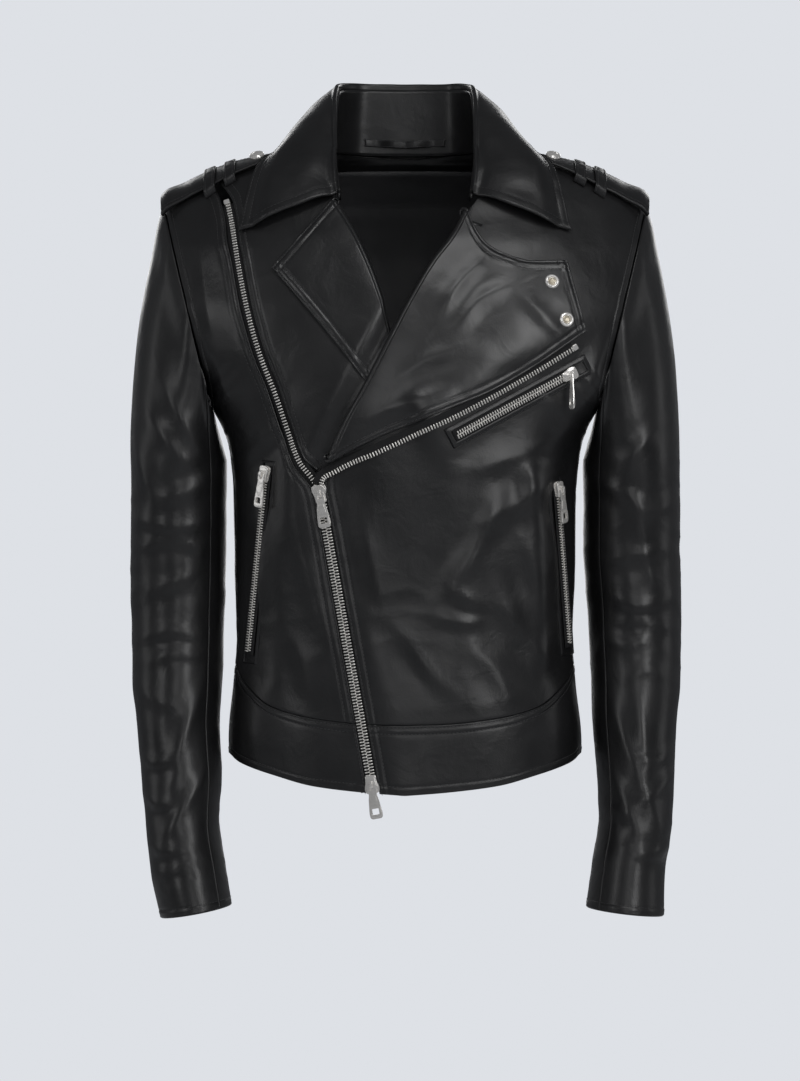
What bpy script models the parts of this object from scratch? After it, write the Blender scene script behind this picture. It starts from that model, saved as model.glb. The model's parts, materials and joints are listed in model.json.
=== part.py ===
"""Leather riding jacket, worn shape, asymmetric front zip. Metres, +Z up, front faces -Y.

The origin is the middle of the wearer's neck base. The wearer's left is +X.
Lengths below are millimetres; every mesh is scaled to metres when it is made.
"""

import math

import bmesh
import bpy
import numpy as np
from mathutils import Vector
from mathutils.geometry import tessellate_polygon

for old in list(bpy.data.objects):
    bpy.data.objects.remove(old, do_unlink=True)

# ---------------------------------------------------------------- driving sizes
LEATHER = 2.0  # shell panel, skin with its backing
SEAM = 0.8  # clear gap left at each seam
LINING_OUT, LINING_IN = -6.2, -7.4  # lining's two faces, below the shell's outer face
ARM_X, ARM_SLOPE = 230.5, 0.245  # armhole plane: x = ARM_X + ARM_SLOPE * z
SIDE_PHI = 84.0  # side seam
YOKE_Z = -112.0
ZIP_TOP, ZIP_END = (-77.0, -300.0), (-28.4, -572.0)
CHEST_A, CHEST_B = (47.0, -250.0), (154.0, -191.5)
POCKET_R_A, POCKET_R_B = (-124.0, -284.0), (-141.0, -451.0)
POCKET_L_A, POCKET_L_B = (136.0, -298.0), (148.0, -444.0)
FLATS = (
    (ZIP_TOP, ZIP_END, 30.0),
    (CHEST_A, CHEST_B, 30.0),
    (POCKET_R_A, POCKET_R_B, 16.0),
    (POCKET_L_A, POCKET_L_B, 16.0),
)
FLAT_HALF = 9.5  # half width of the plane strip under each straight zip
CHAIN_HALF = 4.2  # half width of the closed main chain
SMALL_CHAIN_HALF = 3.5
PULL_LENGTH = 31.0


def smooth(table):
    """Shape-keeping cubic through (key, value, ...) rows, held at its ends."""
    t = np.array(sorted(table), float)
    k, v = t[:, 0], t[:, 1:]
    d = np.diff(v, axis=0) / np.diff(k)[:, None]
    m = np.zeros_like(v)
    m[0], m[-1] = d[0], d[-1]
    h = np.diff(k)[:, None]
    same = d[:-1] * d[1:] > 0
    w1, w2 = 2 * h[1:] + h[:-1], h[1:] + 2 * h[:-1]
    with np.errstate(divide="ignore", invalid="ignore"):
        hm = (w1 + w2) / (w1 / d[:-1] + w2 / d[1:])
    m[1:-1] = np.where(same, hm, 0.0)

    def f(x):
        x = np.clip(np.asarray(x, float), k[0], k[-1])
        i = np.clip(np.searchsorted(k, x) - 1, 0, len(k) - 2)
        hh = k[i + 1] - k[i]
        s = ((x - k[i]) / hh)[..., None]
        hh = hh[..., None]
        return (
            v[i] * (1 + 2 * s) * (1 - s) ** 2
            + m[i] * hh * s * (1 - s) ** 2
            + v[i + 1] * s * s * (3 - 2 * s)
            + m[i + 1] * hh * s * s * (s - 1)
        )

    return f


# level z: half width, front depth, back depth, centre y, roundness of the ring
TORSO = smooth([
    (-640, 158, 108, 102, -6, 2.3),
    (-575, 161, 110, 102, -6, 2.3),
    (-529, 162, 110, 100, -6, 2.3),
    (-474, 157, 109, 95, -5, 2.3),
    (-437, 154, 109, 92, -4, 2.3),
    (-363, 156, 112, 92, -3, 2.3),
    (-300, 157, 116, 98, -2, 2.3),
    (-262, 161, 119, 103, -1, 2.3),
    (-228, 174, 121, 108, 0, 2.3),
    (-200, 197, 120, 111, 1, 2.2),
    (-170, 222, 118, 113, 3, 2.15),
    (-130, 241, 112, 113, 5, 2.1),
    (-80, 240, 99, 108, 8, 2.05),
    (-50, 229, 85, 98, 9, 2.0),
    (-39, 222, 80, 93, 9, 2.0),
    (-29, 212, 75, 89, 9, 2.0),
    (-19, 198, 70, 84, 8, 2.0),
    (-9, 177, 64, 79, 7, 2.0),
    (0, 150, 57, 73, 6, 2.0),
    (7, 118, 51.5, 68, 5.5, 2.0),
    (13, 88, 47, 63.5, 5, 2.0),
    (24, 66, 44, 60, 5, 2.0),
])


def y_ring(x, z):
    a, b, _, yc, n = np.moveaxis(TORSO(z), -1, 0)
    return yc - b * (1 - np.clip(np.abs(x) / a, 0, 0.999) ** n) ** (1 / n)


def flat_frame(p, q):
    """Direction, length and cross slope of the plane strip between p and q."""
    p, q = np.array(p), np.array(q)
    d = q - p
    length = np.hypot(*d)
    d = d / length
    mid = (p + q) / 2
    c = np.array([-d[1], d[0]])
    lo, hi = mid - c * 6, mid + c * 6
    slope = (y_ring(hi[0], hi[1]) - y_ring(lo[0], lo[1])) / 12
    return d, length, float(slope)


def flat_push(x, z):
    """How far the front is moved so that each straight zip has a plane strip under it."""
    out = np.zeros(np.broadcast(x, z).shape)
    for p, q, reach in FLATS:
        d, length, slope = flat_frame(p, q)
        s = (x - p[0]) * d[0] + (z - p[1]) * d[1]
        off = (x - p[0]) * -d[1] + (z - p[1]) * d[0]
        ya, yb = y_ring(np.array(p[0]), np.array(p[1])), y_ring(np.array(q[0]), np.array(q[1]))
        want = ya + (yb - ya) * s / length + slope * off
        far = np.maximum(0, np.maximum(-s - 12, s - length - 12))
        side = np.maximum(0, np.abs(off) - FLAT_HALF)
        w = np.exp(-((side / reach) ** 2) - (far / 14.0) ** 2)
        out = out + w * (want - y_ring(x, z) - out)
    return out


def torso(phi, z):
    """Outer face of the shell; phi in degrees, 0 centre front, 90 wearer's left, 180 back."""
    phi, z = np.broadcast_arrays(np.asarray(phi, float), np.asarray(z, float))
    a, bf, bb, yc, n = np.moveaxis(TORSO(z), -1, 0)
    p = np.radians(phi)
    s, c = np.sin(p), np.cos(p)
    b = np.where(c > 0, bf, bb)
    r = ((np.abs(s) / a) ** n + (np.abs(c) / b) ** n) ** (-1 / n)
    x, y = r * s, yc - r * c
    y = y + flat_push(x, z) * np.clip(c * 6, 0, 1)
    return np.stack([x, y, z], -1)


def phi_front(x, z):
    x, z = np.broadcast_arrays(np.asarray(x, float), np.asarray(z, float))
    a, b, _, _, n = np.moveaxis(TORSO(z), -1, 0)
    q = np.clip(np.abs(x) / a, 0, 0.99999)
    return np.degrees(np.arctan2(x, b * (1 - q**n) ** (1 / n)))


def normal(phi, z):
    du = torso(phi + 0.4, z) - torso(phi - 0.4, z)
    dv = torso(phi, z + 1.2) - torso(phi, z - 1.2)
    n = np.cross(du, dv)
    return n / np.maximum(np.linalg.norm(n, axis=-1, keepdims=True), 1e-9)


def shell(phi, z, off=0.0):
    return torso(phi, z) + normal(phi, z) * np.asarray(off, float)[..., None]


def front(x, z, off=0.0):
    x, z = np.broadcast_arrays(np.asarray(x, float), np.asarray(z, float))
    return shell(phi_front(x, z), z, off)


def arm_x(z):
    return ARM_X + ARM_SLOPE * np.asarray(z, float)


def edge_level(lo, hi):
    def f(z):
        return float(TORSO(np.array(z))[0] - arm_x(z))

    for _ in range(60):
        mid = (lo + hi) / 2
        if (f(lo) > 0) == (f(mid) > 0):
            lo = mid
        else:
            hi = mid
    return (lo + hi) / 2


Z_PIT, Z_TIP = edge_level(-262, -180), edge_level(-60, -20)


def phi_arm(z, back=False):
    """Angle of the armhole edge at level z on the wearer's left."""
    z = np.asarray(z, float)
    a, bf, bb, yc, n = np.moveaxis(TORSO(z), -1, 0)
    b = bb if back else bf
    q = np.clip(arm_x(z) / a, 0, 1)
    ang = np.degrees(np.arctan2(np.minimum(arm_x(z), a), b * (1 - q**n) ** (1 / n)))
    ang = np.where((z > Z_PIT) & (z < Z_TIP), ang, 90.0)
    return 180 - ang if back else ang


# ---------------------------------------------------------------- building helpers
MATERIALS = {}


def material(name, colour, rough, metal):
    m = bpy.data.materials.new(name)
    m.use_nodes = True
    b = m.node_tree.nodes["Principled BSDF"]
    b.inputs["Base Color"].default_value = (*colour, 1)
    b.inputs["Roughness"].default_value = rough
    b.inputs["Metallic"].default_value = metal
    m.diffuse_color = (*colour, 1)
    return m


KINDS = {
    "leather": ((0.02, 0.02, 0.022), 0.42, 0.0),
    "lining": ((0.018, 0.018, 0.02), 0.7, 0.0),
    "tape": ((0.015, 0.015, 0.016), 0.85, 0.0),
    "metal": ((0.62, 0.6, 0.57), 0.25, 1.0),
}


def add(name, verts, faces, kind, origin=(0.0, 0.0, 0.0)):
    """A closed mesh from millimetre points, with its origin at origin (mm)."""
    mesh = bpy.data.meshes.new(name)
    o = np.asarray(origin, float)
    mesh.from_pydata([tuple((np.asarray(v) - o) * 0.001) for v in verts], [], [tuple(int(i) for i in f) for f in faces])
    bm = bmesh.new()
    bm.from_mesh(mesh)
    bmesh.ops.triangulate(bm, faces=bm.faces)
    if bm.calc_volume(signed=True) < 0:
        bmesh.ops.reverse_faces(bm, faces=bm.faces)
    bm.to_mesh(mesh)
    bm.free()
    obj = bpy.data.objects.new(name, mesh)
    obj.location = tuple(o * 0.001)
    bpy.context.scene.collection.objects.link(obj)
    mesh.materials.append(material(name, *KINDS[kind]))
    return obj


def grid_solid(top, low, wrap=False):
    """Vertices and faces of the closed body between two grids of points; wrap joins the first and last columns."""
    m, n = top.shape[:2]
    verts = np.concatenate([top.reshape(-1, 3), low.reshape(-1, 3)])
    k = m * n
    faces = []
    cols = n if wrap else n - 1
    for i in range(m - 1):
        for j in range(cols):
            a, b = i * n + j, i * n + (j + 1) % n
            c, d = b + n, a + n
            faces.append((a, b, c, d))
            faces.append((k + d, k + c, k + b, k + a))
    for j in range(cols):
        a, b = j, (j + 1) % n
        faces.append((b, a, k + a, k + b))
        a, b = a + (m - 1) * n, b + (m - 1) * n
        faces.append((a, b, k + b, k + a))
    if not wrap:
        for i in range(m - 1):
            a, b = i * n, (i + 1) * n
            faces.append((a, b, k + b, k + a))
            a, b = a + n - 1, b + n - 1
            faces.append((b, a, k + a, k + b))
    return verts, faces


def resample(points, t):
    """Points at fractions t of a polyline's length, on a smooth curve through it."""
    p = np.asarray(points, float)
    if len(p) == 2:
        return p[0] + (p[1] - p[0]) * np.asarray(t)[:, None]
    s = np.concatenate([[0], np.cumsum(np.linalg.norm(np.diff(p, axis=0), axis=1))])
    f = smooth([(a, *b) for a, b in zip(s / s[-1], p)])
    return f(np.asarray(t))


def coons(low, top, left, right, nu, nv):
    """Patch between four curves. low and top run the same way, as do left and right."""
    u, v = np.linspace(0, 1, nu), np.linspace(0, 1, nv)
    lo, hi = (c if len(c) == nu and getattr(c, "fixed", False) else resample(c, u) for c in (low, top))
    le, ri = resample(left, v), resample(right, v)
    lo, hi, le, ri = (np.asarray(c, float) for c in (lo, hi, le, ri))
    U, V = u[None, :, None], v[:, None, None]
    c00, c10, c01, c11 = lo[0], lo[-1], hi[0], hi[-1]
    return (
        (1 - V) * lo[None] + V * hi[None] + (1 - U) * le[:, None] + U * ri[:, None]
        - ((1 - U) * (1 - V) * c00 + U * (1 - V) * c10 + (1 - U) * V * c01 + U * V * c11)
    )


def panel(name, patch, surf, out, inn, kind="leather"):
    """Sheet between offsets out and inn, over a patch of surface parameters."""
    a, b = patch[..., 0], patch[..., 1]
    return add(name, *grid_solid(surf(a, b, np.broadcast_to(out, a.shape)), surf(a, b, np.broadcast_to(inn, a.shape))), kind)


def strip_patch(path, lo, hi, nu=2, step=16.0):
    """Patch along an (x, z) path between two sideways distances; positive is to the right of travel."""
    p = np.asarray(path, float)
    length = np.linalg.norm(np.diff(p, axis=0), axis=1).sum()
    count = max(2, int(math.ceil(length / step)) + 1)
    c = resample(p, np.linspace(0, 1, count))
    t = np.gradient(c, axis=0)
    t /= np.linalg.norm(t, axis=1, keepdims=True)
    side = np.stack([-t[:, 1], t[:, 0]], -1)
    w = np.linspace(lo, hi, nu)
    return c[:, None] + side[:, None] * w[None, :, None]


def ring_solid(outer, inner, surf, out, inn):
    """Frame-shaped sheet between two loops of the same length."""
    o, i = np.asarray(outer, float), np.asarray(inner, float)
    loops = [surf(o[:, 0], o[:, 1], np.full(len(o), h)) for h in (out, inn)]
    loops += [surf(i[:, 0], i[:, 1], np.full(len(i), h)) for h in (out, inn)]
    n = len(o)
    verts = np.concatenate(loops)
    faces = []
    for j in range(n):
        k = (j + 1) % n
        faces.append((j, k, 2 * n + k, 2 * n + j))
        faces.append((n + k, n + j, 3 * n + j, 3 * n + k))
        faces.append((k, j, n + j, n + k))
        faces.append((2 * n + j, 2 * n + k, 3 * n + k, 3 * n + j))
    return verts, faces


def extruded(outline, holes, lo, hi, frame):
    """Closed body from an outline in frame's first two axes, between two heights on its third."""
    o, e1, e2, e3 = frame
    loops = [list(outline)] + [list(h) for h in holes]
    flat = [p for loop in loops for p in loop]
    tris = tessellate_polygon([[Vector((p[0], p[1], 0)) for p in loop] for loop in loops])
    n = len(flat)
    verts = [o + e1 * p[0] + e2 * p[1] + e3 * lo for p in flat] + [o + e1 * p[0] + e2 * p[1] + e3 * hi for p in flat]

    def area(t):
        a, b, c = (flat[i] for i in t)
        return (b[0] - a[0]) * (c[1] - a[1]) - (b[1] - a[1]) * (c[0] - a[0])

    faces = []
    for t in tris:
        t = tuple(t) if area(t) > 0 else tuple(t)[::-1]
        faces.append(t[::-1])
        faces.append(tuple(i + n for i in t))
    start = 0
    for number, loop in enumerate(loops):
        k = len(loop)
        turn = sum(loop[i][0] * loop[(i + 1) % k][1] - loop[(i + 1) % k][0] * loop[i][1] for i in range(k))
        forward = (turn > 0) == (number == 0)
        for i in range(k):
            a, b = start + i, start + (i + 1) % k
            if not forward:
                a, b = b, a
            faces.append((a, b, b + n, a + n))
        start += k
    return verts, faces


def joined(name, bodies, kind, origin):
    """One body from several overlapping ones, by exact union."""
    objs = [add(f"{name}_{i}", v, f, kind, origin) for i, (v, f) in enumerate(bodies)]
    base = objs[0]
    for other in objs[1:]:
        mod = base.modifiers.new("join", "BOOLEAN")
        mod.operation, mod.solver, mod.object = "UNION", "EXACT", other
    bpy.context.view_layer.update()
    mesh = bpy.data.meshes.new_from_object(base.evaluated_get(bpy.context.evaluated_depsgraph_get()))
    out = bpy.data.objects.new(name, mesh)
    out.location = base.location
    bpy.context.scene.collection.objects.link(out)
    for o in objs:
        bpy.data.objects.remove(o, do_unlink=True)
    mesh.materials.clear()
    mesh.materials.append(material(name, *KINDS[kind]))
    return out


def disc(name, centre, axis, profile, kind, count=16):
    """Turned body: profile is (radius, height) rows from the foot's middle to the top's middle."""
    z = np.asarray(axis, float)
    z = z / np.linalg.norm(z)
    x = np.cross(z, (0.0, 1.0, 0.2))
    x /= np.linalg.norm(x)
    y = np.cross(z, x)
    verts = [centre + z * profile[0][1]]
    rows = profile[1:-1]
    for r, h in rows:
        for i in range(count):
            a = 2 * math.pi * i / count
            verts.append(centre + (x * math.cos(a) + y * math.sin(a)) * r + z * h)
    verts.append(centre + z * profile[-1][1])
    faces = []
    for i in range(count):
        j = (i + 1) % count
        faces.append((0, 1 + j, 1 + i))
        for k in range(len(rows) - 1):
            a, b = 1 + k * count, 1 + (k + 1) * count
            faces.append((a + i, a + j, b + j, b + i))
        a = 1 + (len(rows) - 1) * count
        faces.append((a + i, a + j, len(verts) - 1))
    return add(name, verts, faces, kind, centre)


# ---------------------------------------------------------------- seam lines
WAIST = smooth([(0, -511), (18, -510), (40, -505), (57, -495), (72, -474), (84, -459), (120, -452), (180, -450)])
HEM = smooth([(0, -574), (18, -571.5), (40, -566), (57, -556), (72, -547), (84, -540), (120, -542), (180, -548)])
NECK = smooth([(0, -60), (40, -40.5), (46, -30.5), (52, -14), (59, -0.6), (66, 7.3), (80, 13.4), (92, 17), (120, 15.4), (180, 11.4)])


def wrap_phi(phi):
    p = np.abs((np.asarray(phi, float) + 180) % 360 - 180)
    return p


def waist(phi):
    return WAIST(wrap_phi(phi))[..., 0]


def hem(phi):
    return HEM(wrap_phi(phi))[..., 0]


def neck(phi):
    return NECK(wrap_phi(phi))[..., 0]


def zip_x(z):
    t = (np.asarray(z, float) - ZIP_TOP[1]) / (ZIP_END[1] - ZIP_TOP[1])
    return ZIP_TOP[0] + t * (ZIP_END[0] - ZIP_TOP[0])


def zip_phi(z, side):
    """Angle of the line that runs beside the closed chain, side mm to the wearer's left of it."""
    return phi_front(zip_x(z) + side * 1.02, z)


ROLL_L = [(55.0, -46.0), (47, -68), (26, -96), (4, -133), (-11, -162), (-36, -210), (-50, -235), (-65, -268), (-73, -286)]
ROLL_R = [(-60.0, -38.0), (-40, -79), (-21, -130), (-11, -166)]
STRING_R = [(-81.0, -298.0), (-96, -274), (-108, -241), (-118, -212), (-130, -182), (-139, -153), (-147, -119), (-153, -87), (-158, -57), (-162, -38)]
STRING_L = [(-74.0, -290.0), (-63, -283), (-48, -275), (-28, -267), (13, -248), (39, -236), (71, -219), (114, -194), (151, -171)]

A84 = SIDE_PHI
SIDE_GAP = 0.75 * SEAM / 2.7  # degrees either side of the side seam


def to_phi(path):
    p = np.asarray(path, float)
    return np.stack([phi_front(p[:, 0], p[:, 1]), p[:, 1]], -1)


def side_edge(sign, front_side):
    """Side seam then armhole then, at the top, the shoulder tip; runs upwards, for Coons patches."""
    out = []
    start = float(waist(A84)) + SEAM / 2
    for k in range(19):
        zz = start + k / 18 * (Z_PIT - 2.5 - start)
        s = min(1.0, max(0.0, (zz + 330) / (Z_PIT + 330)))
        ph = A84 + (90 - A84) * s * s * (3 - 2 * s)
        out.append((ph + (-SIDE_GAP if front_side else SIDE_GAP), zz))
    levels = Z_PIT + (Z_TIP - Z_PIT) * (1 - np.cos(np.linspace(0.12, math.pi - 0.06, 11))) / 2
    for z in levels:
        out.append((float(phi_arm(z, not front_side)), float(z)))
    p = np.array(out)
    p[:, 0] *= sign
    return p


class Fixed(np.ndarray):
    fixed = True


def fixed(points):
    return np.asarray(points, float).view(Fixed)


# ---------------------------------------------------------------- body shell
# Each front: bottom edge on the waist seam, outer edge up the side seam and round the armhole.
def line_phis(lo, hi, n, level, gap):
    ph = np.linspace(lo, hi, n)
    return fixed(np.stack([ph, level(ph) + gap], -1))


def seam_offset(path, dist):
    """An (x, z) path moved sideways by dist mm; positive is to the right of travel."""
    p = np.asarray(path, float)
    t = np.gradient(p, axis=0)
    t /= np.linalg.norm(t, axis=1, keepdims=True)
    return p + np.stack([-t[:, 1], t[:, 0]], -1) * -dist


# wearer's left front, from the chain's left side and the roll line to the side seam
zl = np.linspace(float(waist(12)) + 0.4, ZIP_TOP[1] + 6, 7)
left_low = np.stack([zip_phi(zl, 5.4), zl], -1)
left_edge = np.concatenate([left_low, to_phi(ROLL_L[::-1][1:])])
side_l = side_edge(1, True)
left_bottom = line_phis(float(zip_phi(float(waist(12)), 5.4)), A84 - SIDE_GAP, 17, waist, SEAM / 2)
left_top = np.array([(left_edge[-1][0], left_edge[-1][1]), (52, float(neck(52))), (66, float(neck(66))), (79.0, float(neck(80)) - 1), (84, -8), (87, -24), (side_l[-1][0], side_l[-1][1])])
left_edge[0] = left_bottom[0]
side_l[0] = left_bottom[-1]
panel("front_left", coons(left_bottom, left_top, left_edge, side_l, 17, 28), shell, 0.0, -LEATHER)

# wearer's right front, between the zip and the armhole
side_r = side_edge(-1, True)
zr = np.linspace(float(waist(20)) + 0.4, ZIP_TOP[1] - 2, 7)
right_low = np.stack([zip_phi(zr, -5.4), zr], -1)
string_out = seam_offset(STRING_R, -5.4)
right_edge = np.concatenate([right_low, to_phi(string_out[1:])])
right_edge = np.concatenate([right_edge, to_phi([(-171.0, -28.0)]), [[-84.75, -8.2]]])
right_bottom = line_phis(-(A84 - SIDE_GAP), float(zip_phi(float(waist(20)), -5.4)), 10, waist, SEAM / 2)
side_r[0], right_edge[0] = right_bottom[0], right_bottom[-1]
right_top = np.array([(side_r[-1][0], side_r[-1][1]), (-88.0, -24.0), (right_edge[-1][0], right_edge[-1][1])])
panel("front_right_outer", coons(right_bottom, right_top, side_r, right_edge, 10, 28), shell, 0.0, -LEATHER)

# the part of the right front that runs on from the zip, under the left front
string_in = seam_offset(STRING_R, 5.4)
under_low = np.stack([zip_phi(zr, -10.0), zr], -1)
inner_left = np.concatenate([to_phi([(float(zip_x(z)) - 11.0, z) for z in np.linspace(-500, -330, 6)]), to_phi([(-78.5, -286.0)]), to_phi(string_in[1:])])
inner_left = np.concatenate([inner_left, to_phi([(-161.0, -29.0)]), [[-84.4, -6.6]]])
inner_right = np.concatenate([to_phi([(float(zip_x(z)) + 34.0, z) for z in np.linspace(-500, -330, 6)]), to_phi([(-30.0, -270.0), (5.0, -215.0), (-6.0, -172.0)]), to_phi(ROLL_R[::-1][1:])])
inner_bottom = np.array([inner_left[0], inner_right[0]])
inner_top = np.array([inner_left[-1], (-80, float(neck(80)) - 1), (-66, float(neck(66))), (-52, float(neck(52))), inner_right[-1]])


def under_depth(x, z):
    """How deep the right front lies under the left front: 0 clear of it, 1 beneath it."""
    p = np.array([(float(zip_x(-640.0)), -640.0), (float(zip_x(-300)), -300.0)] + [tuple(q) for q in ROLL_L[::-1]])
    line = np.interp(z, p[:, 1], p[:, 0])
    d = (x - line) * 0.82
    above = np.clip((np.asarray(z, float) + 318) / 26, 0, 1)
    start = -22 * above - 40 * (1 - above)
    s = np.clip((d - start) / 18.0, 0, 1)
    return s * s * (3 - 2 * s)


inner = coons(inner_bottom, inner_top, inner_left, inner_right, 9, 26)
pts = shell(inner[..., 0], inner[..., 1], np.zeros(inner.shape[:2]))
depth = under_depth(pts[..., 0], pts[..., 2])
panel("front_right_inner", inner, shell, -5.4 * depth, -5.4 * depth - LEATHER)

# back: yoke above, one panel below
arm_b = np.array([(float(phi_arm(z, True)), float(z)) for z in Z_PIT + (Z_TIP - Z_PIT) * (1 - np.cos(np.linspace(0.12, math.pi - 0.06, 15))) / 2])
yoke_z_hi, yoke_z_lo = YOKE_Z + SEAM / 2, YOKE_Z - SEAM / 2
seam_phi = float(phi_arm(YOKE_Z, True))
yoke_side = np.concatenate([[(seam_phi, yoke_z_hi)], arm_b[arm_b[:, 1] > yoke_z_hi + 4], [(89, -25), (85.5, -8), (82, float(neck(80)) - 1)]])
mirror = np.array([-1.0, 1.0])
yoke_r = yoke_side * mirror + np.array([360.0, 0.0])
top_phis = np.linspace(82, 278, 21)
yoke_top = fixed(np.stack([top_phis, neck(top_phis) - 1.0 * (np.abs(top_phis - 180) > 97)], -1))
yoke_bottom = fixed(np.stack([np.linspace(seam_phi, 360 - seam_phi, 21), np.full(21, yoke_z_hi)], -1))
yoke_top[0], yoke_top[-1] = yoke_side[-1], yoke_r[-1]
panel("back_yoke", coons(yoke_bottom, yoke_top, yoke_side, yoke_r, 21, 12), shell, 0.0, -LEATHER)

side_b = side_edge(1, False)
back_side = np.concatenate([side_b[side_b[:, 1] < yoke_z_lo - 5], [(seam_phi, yoke_z_lo)]])
back_r = back_side * mirror + np.array([360.0, 0.0])
back_bottom = line_phis(A84 + SIDE_GAP, 360 - A84 - SIDE_GAP, 19, waist, SEAM / 2)
back_top = fixed(np.stack([np.linspace(seam_phi, 360 - seam_phi, 19), np.full(19, yoke_z_lo)], -1))
back_side[0], back_r[0] = back_bottom[0], back_bottom[-1]
panel("back_panel", coons(back_bottom, back_top, back_side, back_r, 19, 18), shell, 0.0, -LEATHER)


# waistband, three pieces
def band(name, lo, hi, n, zip_side=None):
    ph = np.linspace(0, 1, n)
    rows = []
    for v in np.linspace(0, 1, 4):
        lo_v, hi_v = lo, hi
        if zip_side == "hi":
            z0 = float(hem(hi)) * (1 - v) + float(waist(hi)) * v
            hi_v = float(zip_phi(z0, -5.4))
        if zip_side == "lo":
            z0 = float(hem(lo)) * (1 - v) + float(waist(lo)) * v
            lo_v = float(zip_phi(z0, 5.4))
        p = lo_v + (hi_v - lo_v) * ph
        z = hem(p) * (1 - v) + (waist(p) - SEAM / 2) * v
        rows.append(np.stack([p, z], -1))
    return panel(name, np.array(rows), shell, 0.0, -LEATHER)


band("waistband_left", float(zip_phi(-540, 5.4)), A84 - SIDE_GAP, 17, "lo")
band("waistband_right", -(A84 - SIDE_GAP), float(zip_phi(-540, -5.4)), 10, "hi")
band("waistband_back", A84 + SIDE_GAP, 360 - A84 - SIDE_GAP, 19)

# lining, hung from the neck and the front facings, with the same armholes
lin_rows = []
for z in [-505.0, -470, -435, -400, -363, -330, -300, -262, Z_PIT - 6] + list(Z_PIT + (Z_TIP - Z_PIT) * np.array([0.12, 0.3, 0.5, 0.7, 0.85, 0.95])) + [-24.0, -6.0, 4.0]:
    edge = 55.0 if z < -300 else 55.0 + 12 * min(1, (z + 300) / 60)
    lin_rows.append((z, edge))


def lining_half(z, edge, n=9):
    """Angles from the front facing edge to the armhole or side, then on to centre back."""
    side_front = min(float(phi_arm(z)), 90.0) - (1.2 if Z_PIT < z < Z_TIP else 0)
    side_back = max(float(phi_arm(z, True)), 90.0) + (1.2 if Z_PIT < z < Z_TIP else 0)
    return side_front, side_back


# the lining is one sheet: below the armholes it runs right round, above them the front parts are the facings
low = [(z, e) for z, e in lin_rows if z <= Z_PIT - 5]
phis = np.linspace(0, 1, 31)
patch = np.array([np.stack([e + (360 - 2 * e) * phis, np.full(31, z)], -1) for z, e in low])
upper = []
for z, e in [r for r in lin_rows if r[0] > Z_PIT - 5 and r[0] < 3]:
    b = max(float(phi_arm(z, True)) + 1.5, 91.5)
    upper.append((z, b))
last = patch[-1]
inside = np.where((last[:, 0] > 96) & (last[:, 0] < 264))[0]
cols = inside
# back part of the lining above the armpits shares its columns with the ring below
grid_low = patch
rows_up = []
for z, b in upper:
    p = b + (360 - 2 * b) * (np.arange(len(cols)) / (len(cols) - 1))
    rows_up.append(np.stack([p, np.full(len(cols), z)], -1))


def sheet_on(cells, out, inn):
    """Closed sheet over a set of (phi, z) quads that share corner numbers."""
    points, quads = cells
    a, b = points[:, 0], points[:, 1]
    top = shell(a, b, np.full(len(a), out))
    bot = shell(a, b, np.full(len(a), inn))
    n = len(points)
    verts = np.concatenate([top, bot])
    faces, edges = [], {}
    for q in quads:
        faces.append(tuple(q))
        faces.append(tuple(n + i for i in reversed(q)))
        for i in range(len(q)):
            e = (q[i], q[(i + 1) % len(q)])
            edges[e] = edges.get(e, 0) + 1
    for e in edges:
        if (e[1], e[0]) not in edges:
            faces.append((e[1], e[0], n + e[0], n + e[1]))
    return verts, faces


pts_list, quads, index = [], [], {}
for i, row in enumerate(grid_low):
    for j, p in enumerate(row):
        index[("l", i, j)] = len(pts_list)
        pts_list.append(p)
for i in range(len(grid_low) - 1):
    for j in range(len(grid_low[0]) - 1):
        quads.append([index[("l", i, j)], index[("l", i, j + 1)], index[("l", i + 1, j + 1)], index[("l", i + 1, j)]])
for i, row in enumerate(rows_up):
    for j, p in enumerate(row):
        index[("u", i, j)] = len(pts_list)
        pts_list.append(p)
for j in range(len(cols) - 1):
    quads.append([index[("l", len(grid_low) - 1, cols[j])], index[("l", len(grid_low) - 1, cols[j + 1])], index[("u", 0, j + 1)], index[("u", 0, j)]])
for i in range(len(rows_up) - 1):
    for j in range(len(cols) - 1):
        quads.append([index[("u", i, j)], index[("u", i, j + 1)], index[("u", i + 1, j + 1)], index[("u", i + 1, j)]])
add("body_lining", *sheet_on((np.array(pts_list), quads), LINING_OUT, LINING_IN), "lining")

# ---------------------------------------------------------------- sleeves
# level z of the ring's middle: centre x, centre y, half width, half depth, tilt of the ring
SLEEVE_L = smooth([
    (-271, 208.5, 5, 44.5, 66, 0), (-345, 208.5, 4, 44.5, 60, 0), (-410, 211, 2, 43, 56, 0), (-474, 212, -6, 41, 54, 0),
    (-511, 210.5, -13, 38.5, 52, 0), (-566, 211, -25, 35, 49, 0), (-603, 210, -33, 33.5, 47, 0), (-640, 204, -41, 33.5, 46, 1), (-682, 200, -50, 35.5, 46, 4),
])
SLEEVE_R = smooth([
    (-271, 208.5, 5, 44.5, 66, 0), (-345, 208.5, 4, 44.0, 60, 0), (-410, 209, 2, 43, 56, 0), (-474, 209, -6, 41.5, 54, 0),
    (-511, 208, -13, 38, 52, 0), (-566, 204, -25, 36.5, 49, 0), (-603, 203, -33, 33.5, 47, 0), (-640, 198, -41, 34, 46, 3), (-682, 190, -50, 32.5, 46, 6),
])
CUFF_Z = -682.0


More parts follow.
